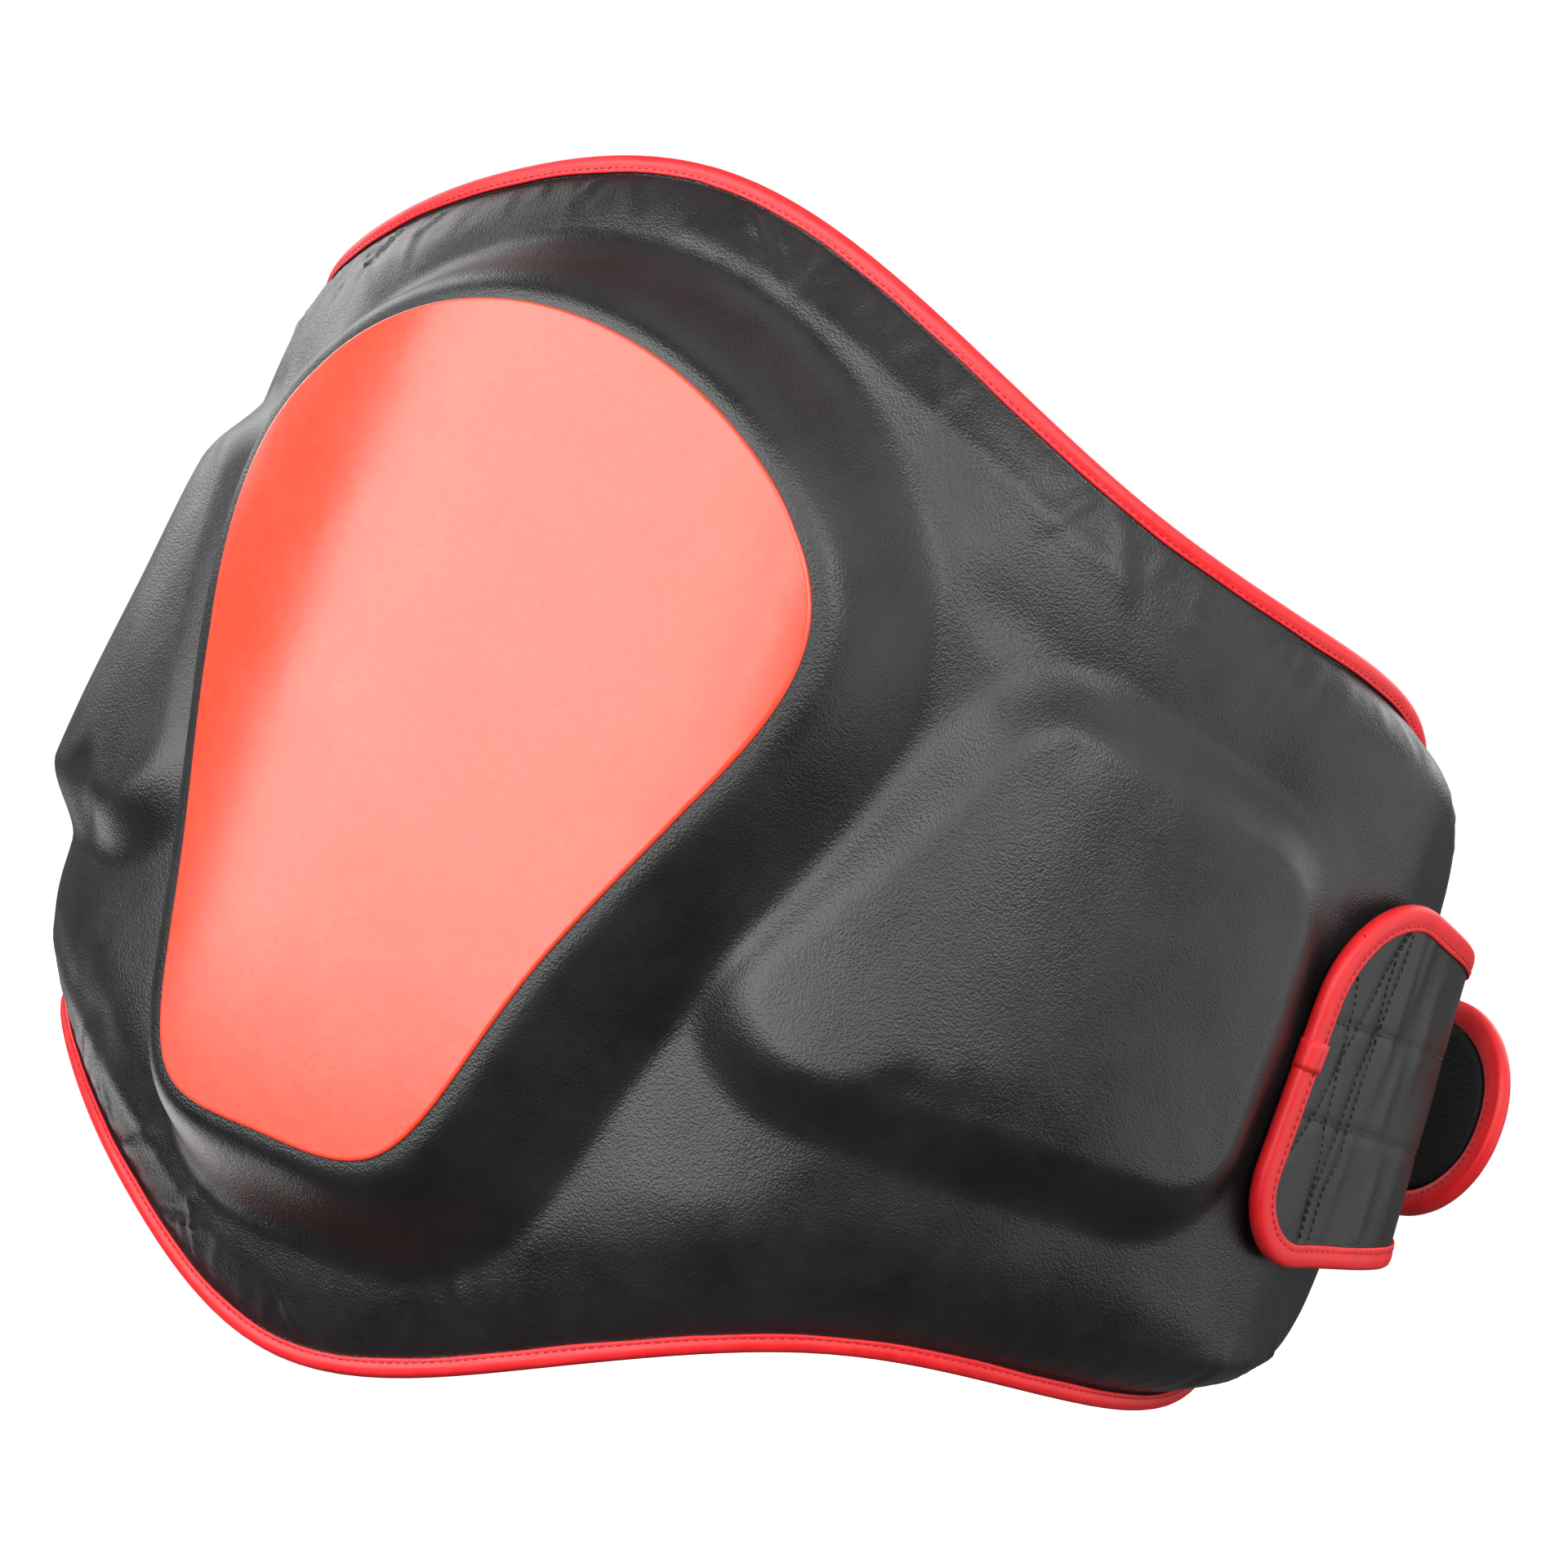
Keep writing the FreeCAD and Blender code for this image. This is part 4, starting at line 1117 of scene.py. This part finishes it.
def make_strap_end():
    body = strap_leather("strap_end_leather", STRAP_EDGE, "strap_end",
                         ["strap_end_outer", "strap_end_web", "strap_end_inner"],
                         rings=(0.4, 3.0, 6.5))
    red = Stitching("strap_end_stitches", THREAD_RED, 25)
    binding = strap_tape("strap_end_tape", STRAP_EDGE, "strap_end", ["strap_end_binding"], red)
    hook = slab("strap_hook_face", STRAP.place, inset_line(STRAP_EDGE, HOOK_INSET, False),
                level(-STRAP_THICK - PATCH_GAP - PATCH), level(-STRAP_THICK - PATCH_GAP), HOOK,
                step=2.5)
    placed(hook, "strap_end", ["strap_hook_patch"])
    sewing = placed(red.build(), "strap_end")
    across = [ELASTIC_END + inset for inset in SEAM_INSETS]
    rows = strap_seams("strap_end_seams", 27, "strap_end", [], across)


# ---- floor, light and camera

VIEW_AZIMUTH = math.radians(33.52)
VIEW_ELEVATION = math.radians(0.98)
VIEW_ROLL = math.radians(20.3)
VIEW_DISTANCE = 1.907
VIEW_LENS = 133.6
VIEW_PEAK = Vector((0.0, 0.0, PANEL_PEAK_Z * MM))
AIM_ACROSS = 0.0988
AIM_UP = 0.0097


def direction(a, e):
    """Unit vector from the object for an azimuth (0 at the front, +X at 90 degrees) and elevation."""
    return Vector((math.sin(a) * math.cos(e), -math.cos(a) * math.cos(e), math.sin(e)))


def make_camera():
    back = direction(VIEW_AZIMUTH, VIEW_ELEVATION)
    right = Vector((math.cos(VIEW_AZIMUTH), math.sin(VIEW_AZIMUTH), 0.0))
    up = back.cross(right)
    across = right * math.cos(VIEW_ROLL) + up * math.sin(VIEW_ROLL)
    upward = up * math.cos(VIEW_ROLL) - right * math.sin(VIEW_ROLL)
    aim = VIEW_PEAK + across * AIM_ACROSS + upward * AIM_UP
    place = VIEW_PEAK + back * VIEW_DISTANCE
    z_axis = (place - aim).normalized()
    x_axis = upward.cross(z_axis).normalized()
    y_axis = z_axis.cross(x_axis)
    camera = bpy.data.objects.new("camera", bpy.data.cameras.new("camera"))
    turn = Matrix((x_axis, y_axis, z_axis)).transposed().to_4x4()
    camera.matrix_world = Matrix.Translation(place) @ turn
    camera.data.lens = VIEW_LENS
    camera.data.clip_end = 50.0
    bpy.context.scene.collection.objects.link(camera)
    bpy.context.scene.camera = camera


# Softboxes as (name, azimuth, elevation, width, height, radiance).
LIGHT_DISTANCE = 1.8
SOFTBOXES = [
    ("key", -18.0, 9.0, 3.1, 1.4, 5.2),
    ("side", 50.0, 28.0, 0.9, 0.9, 6.2),
    ("upper", 95.0, 52.0, 1.2, 0.8, 1.6),
    ("right", 112.0, 12.0, 1.9, 1.3, 1.4),
    ("left", -104.0, 20.0, 0.9, 1.0, 3.0),
    ("low_left", -118.0, -34.0, 1.2, 0.9, 2.4),
    ("top", 0.0, 84.0, 1.4, 1.0, 0.9),
    ("behind", 168.0, 35.0, 1.2, 1.0, 2.5),
]
LIGHT_CENTRE = Vector((0.0, 0.12, 0.0))
WORLD_FILL = 0.15
FLOOR_SIZE, FLOOR_DROP = 6.0, 0.004
FLOOR_GREY, FLOOR_GLOW = 0.9, 0.9
WHITE = (1.0, 1.0, 1.0, 1.0)


def make_lights():
    for name, azimuth, elevation, width, height, radiance in SOFTBOXES:
        light = bpy.data.lights.new("softbox_" + name, "AREA")
        light.shape = "RECTANGLE"
        light.size, light.size_y = width, height
        light.energy = radiance * math.pi * width * height
        lamp = bpy.data.objects.new(light.name, light)
        outward = direction(math.radians(azimuth), math.radians(elevation))
        lamp.location = LIGHT_CENTRE + outward * LIGHT_DISTANCE
        lamp.rotation_euler = outward.to_track_quat("Z", "Y").to_euler()
        lamp.visible_camera = False
        bpy.context.scene.collection.objects.link(lamp)


def make_surroundings():
    """A pale floor and a white studio; the studio's own light is dim."""
    world = bpy.data.worlds.new("studio")
    bpy.context.scene.world = world
    world.use_nodes = True
    nodes, links = world.node_tree.nodes, world.node_tree.links
    seen, fill = nodes.new("ShaderNodeBackground"), nodes["Background"]
    for light in (seen, fill):
        light.inputs["Color"].default_value = WHITE
    fill.inputs["Strength"].default_value = WORLD_FILL
    mix = nodes.new("ShaderNodeMixShader")
    links.new(nodes.new("ShaderNodeLightPath").outputs["Is Camera Ray"], mix.inputs[0])
    links.new(fill.outputs[0], mix.inputs[1])
    links.new(seen.outputs[0], mix.inputs[2])
    links.new(mix.outputs[0], nodes["World Output"].inputs["Surface"])
    z = CAD_BOX[0].z - FLOOR_DROP
    corners = [(x * FLOOR_SIZE, y * FLOOR_SIZE, z) for x, y in ((-1, -1), (1, -1), (1, 1), (-1, 1))]
    paint = bpy.data.materials.new("floor")
    paint.use_nodes = True
    surface = paint.node_tree.nodes["Principled BSDF"]
    surface.inputs["Base Color"].default_value = (FLOOR_GREY, FLOOR_GREY, FLOOR_GREY, 1.0)
    surface.inputs["Emission Color"].default_value = WHITE
    surface.inputs["Emission Strength"].default_value = FLOOR_GLOW
    floor = mesh_object("floor", corners, [[0, 1, 2, 3]], paint)
    floor.visible_glossy = False
    floor.visible_diffuse = False
    bpy.context.scene.view_settings.view_transform = "Standard"
    bpy.context.scene.cycles.use_denoising = True


make_cover(simulate_swell())
make_panel()
make_lining()
make_pad_binding()
finish_foam()
make_flap()
make_strap_base()
make_elastic()
make_strap_end()
make_camera()
make_lights()
make_surroundings()
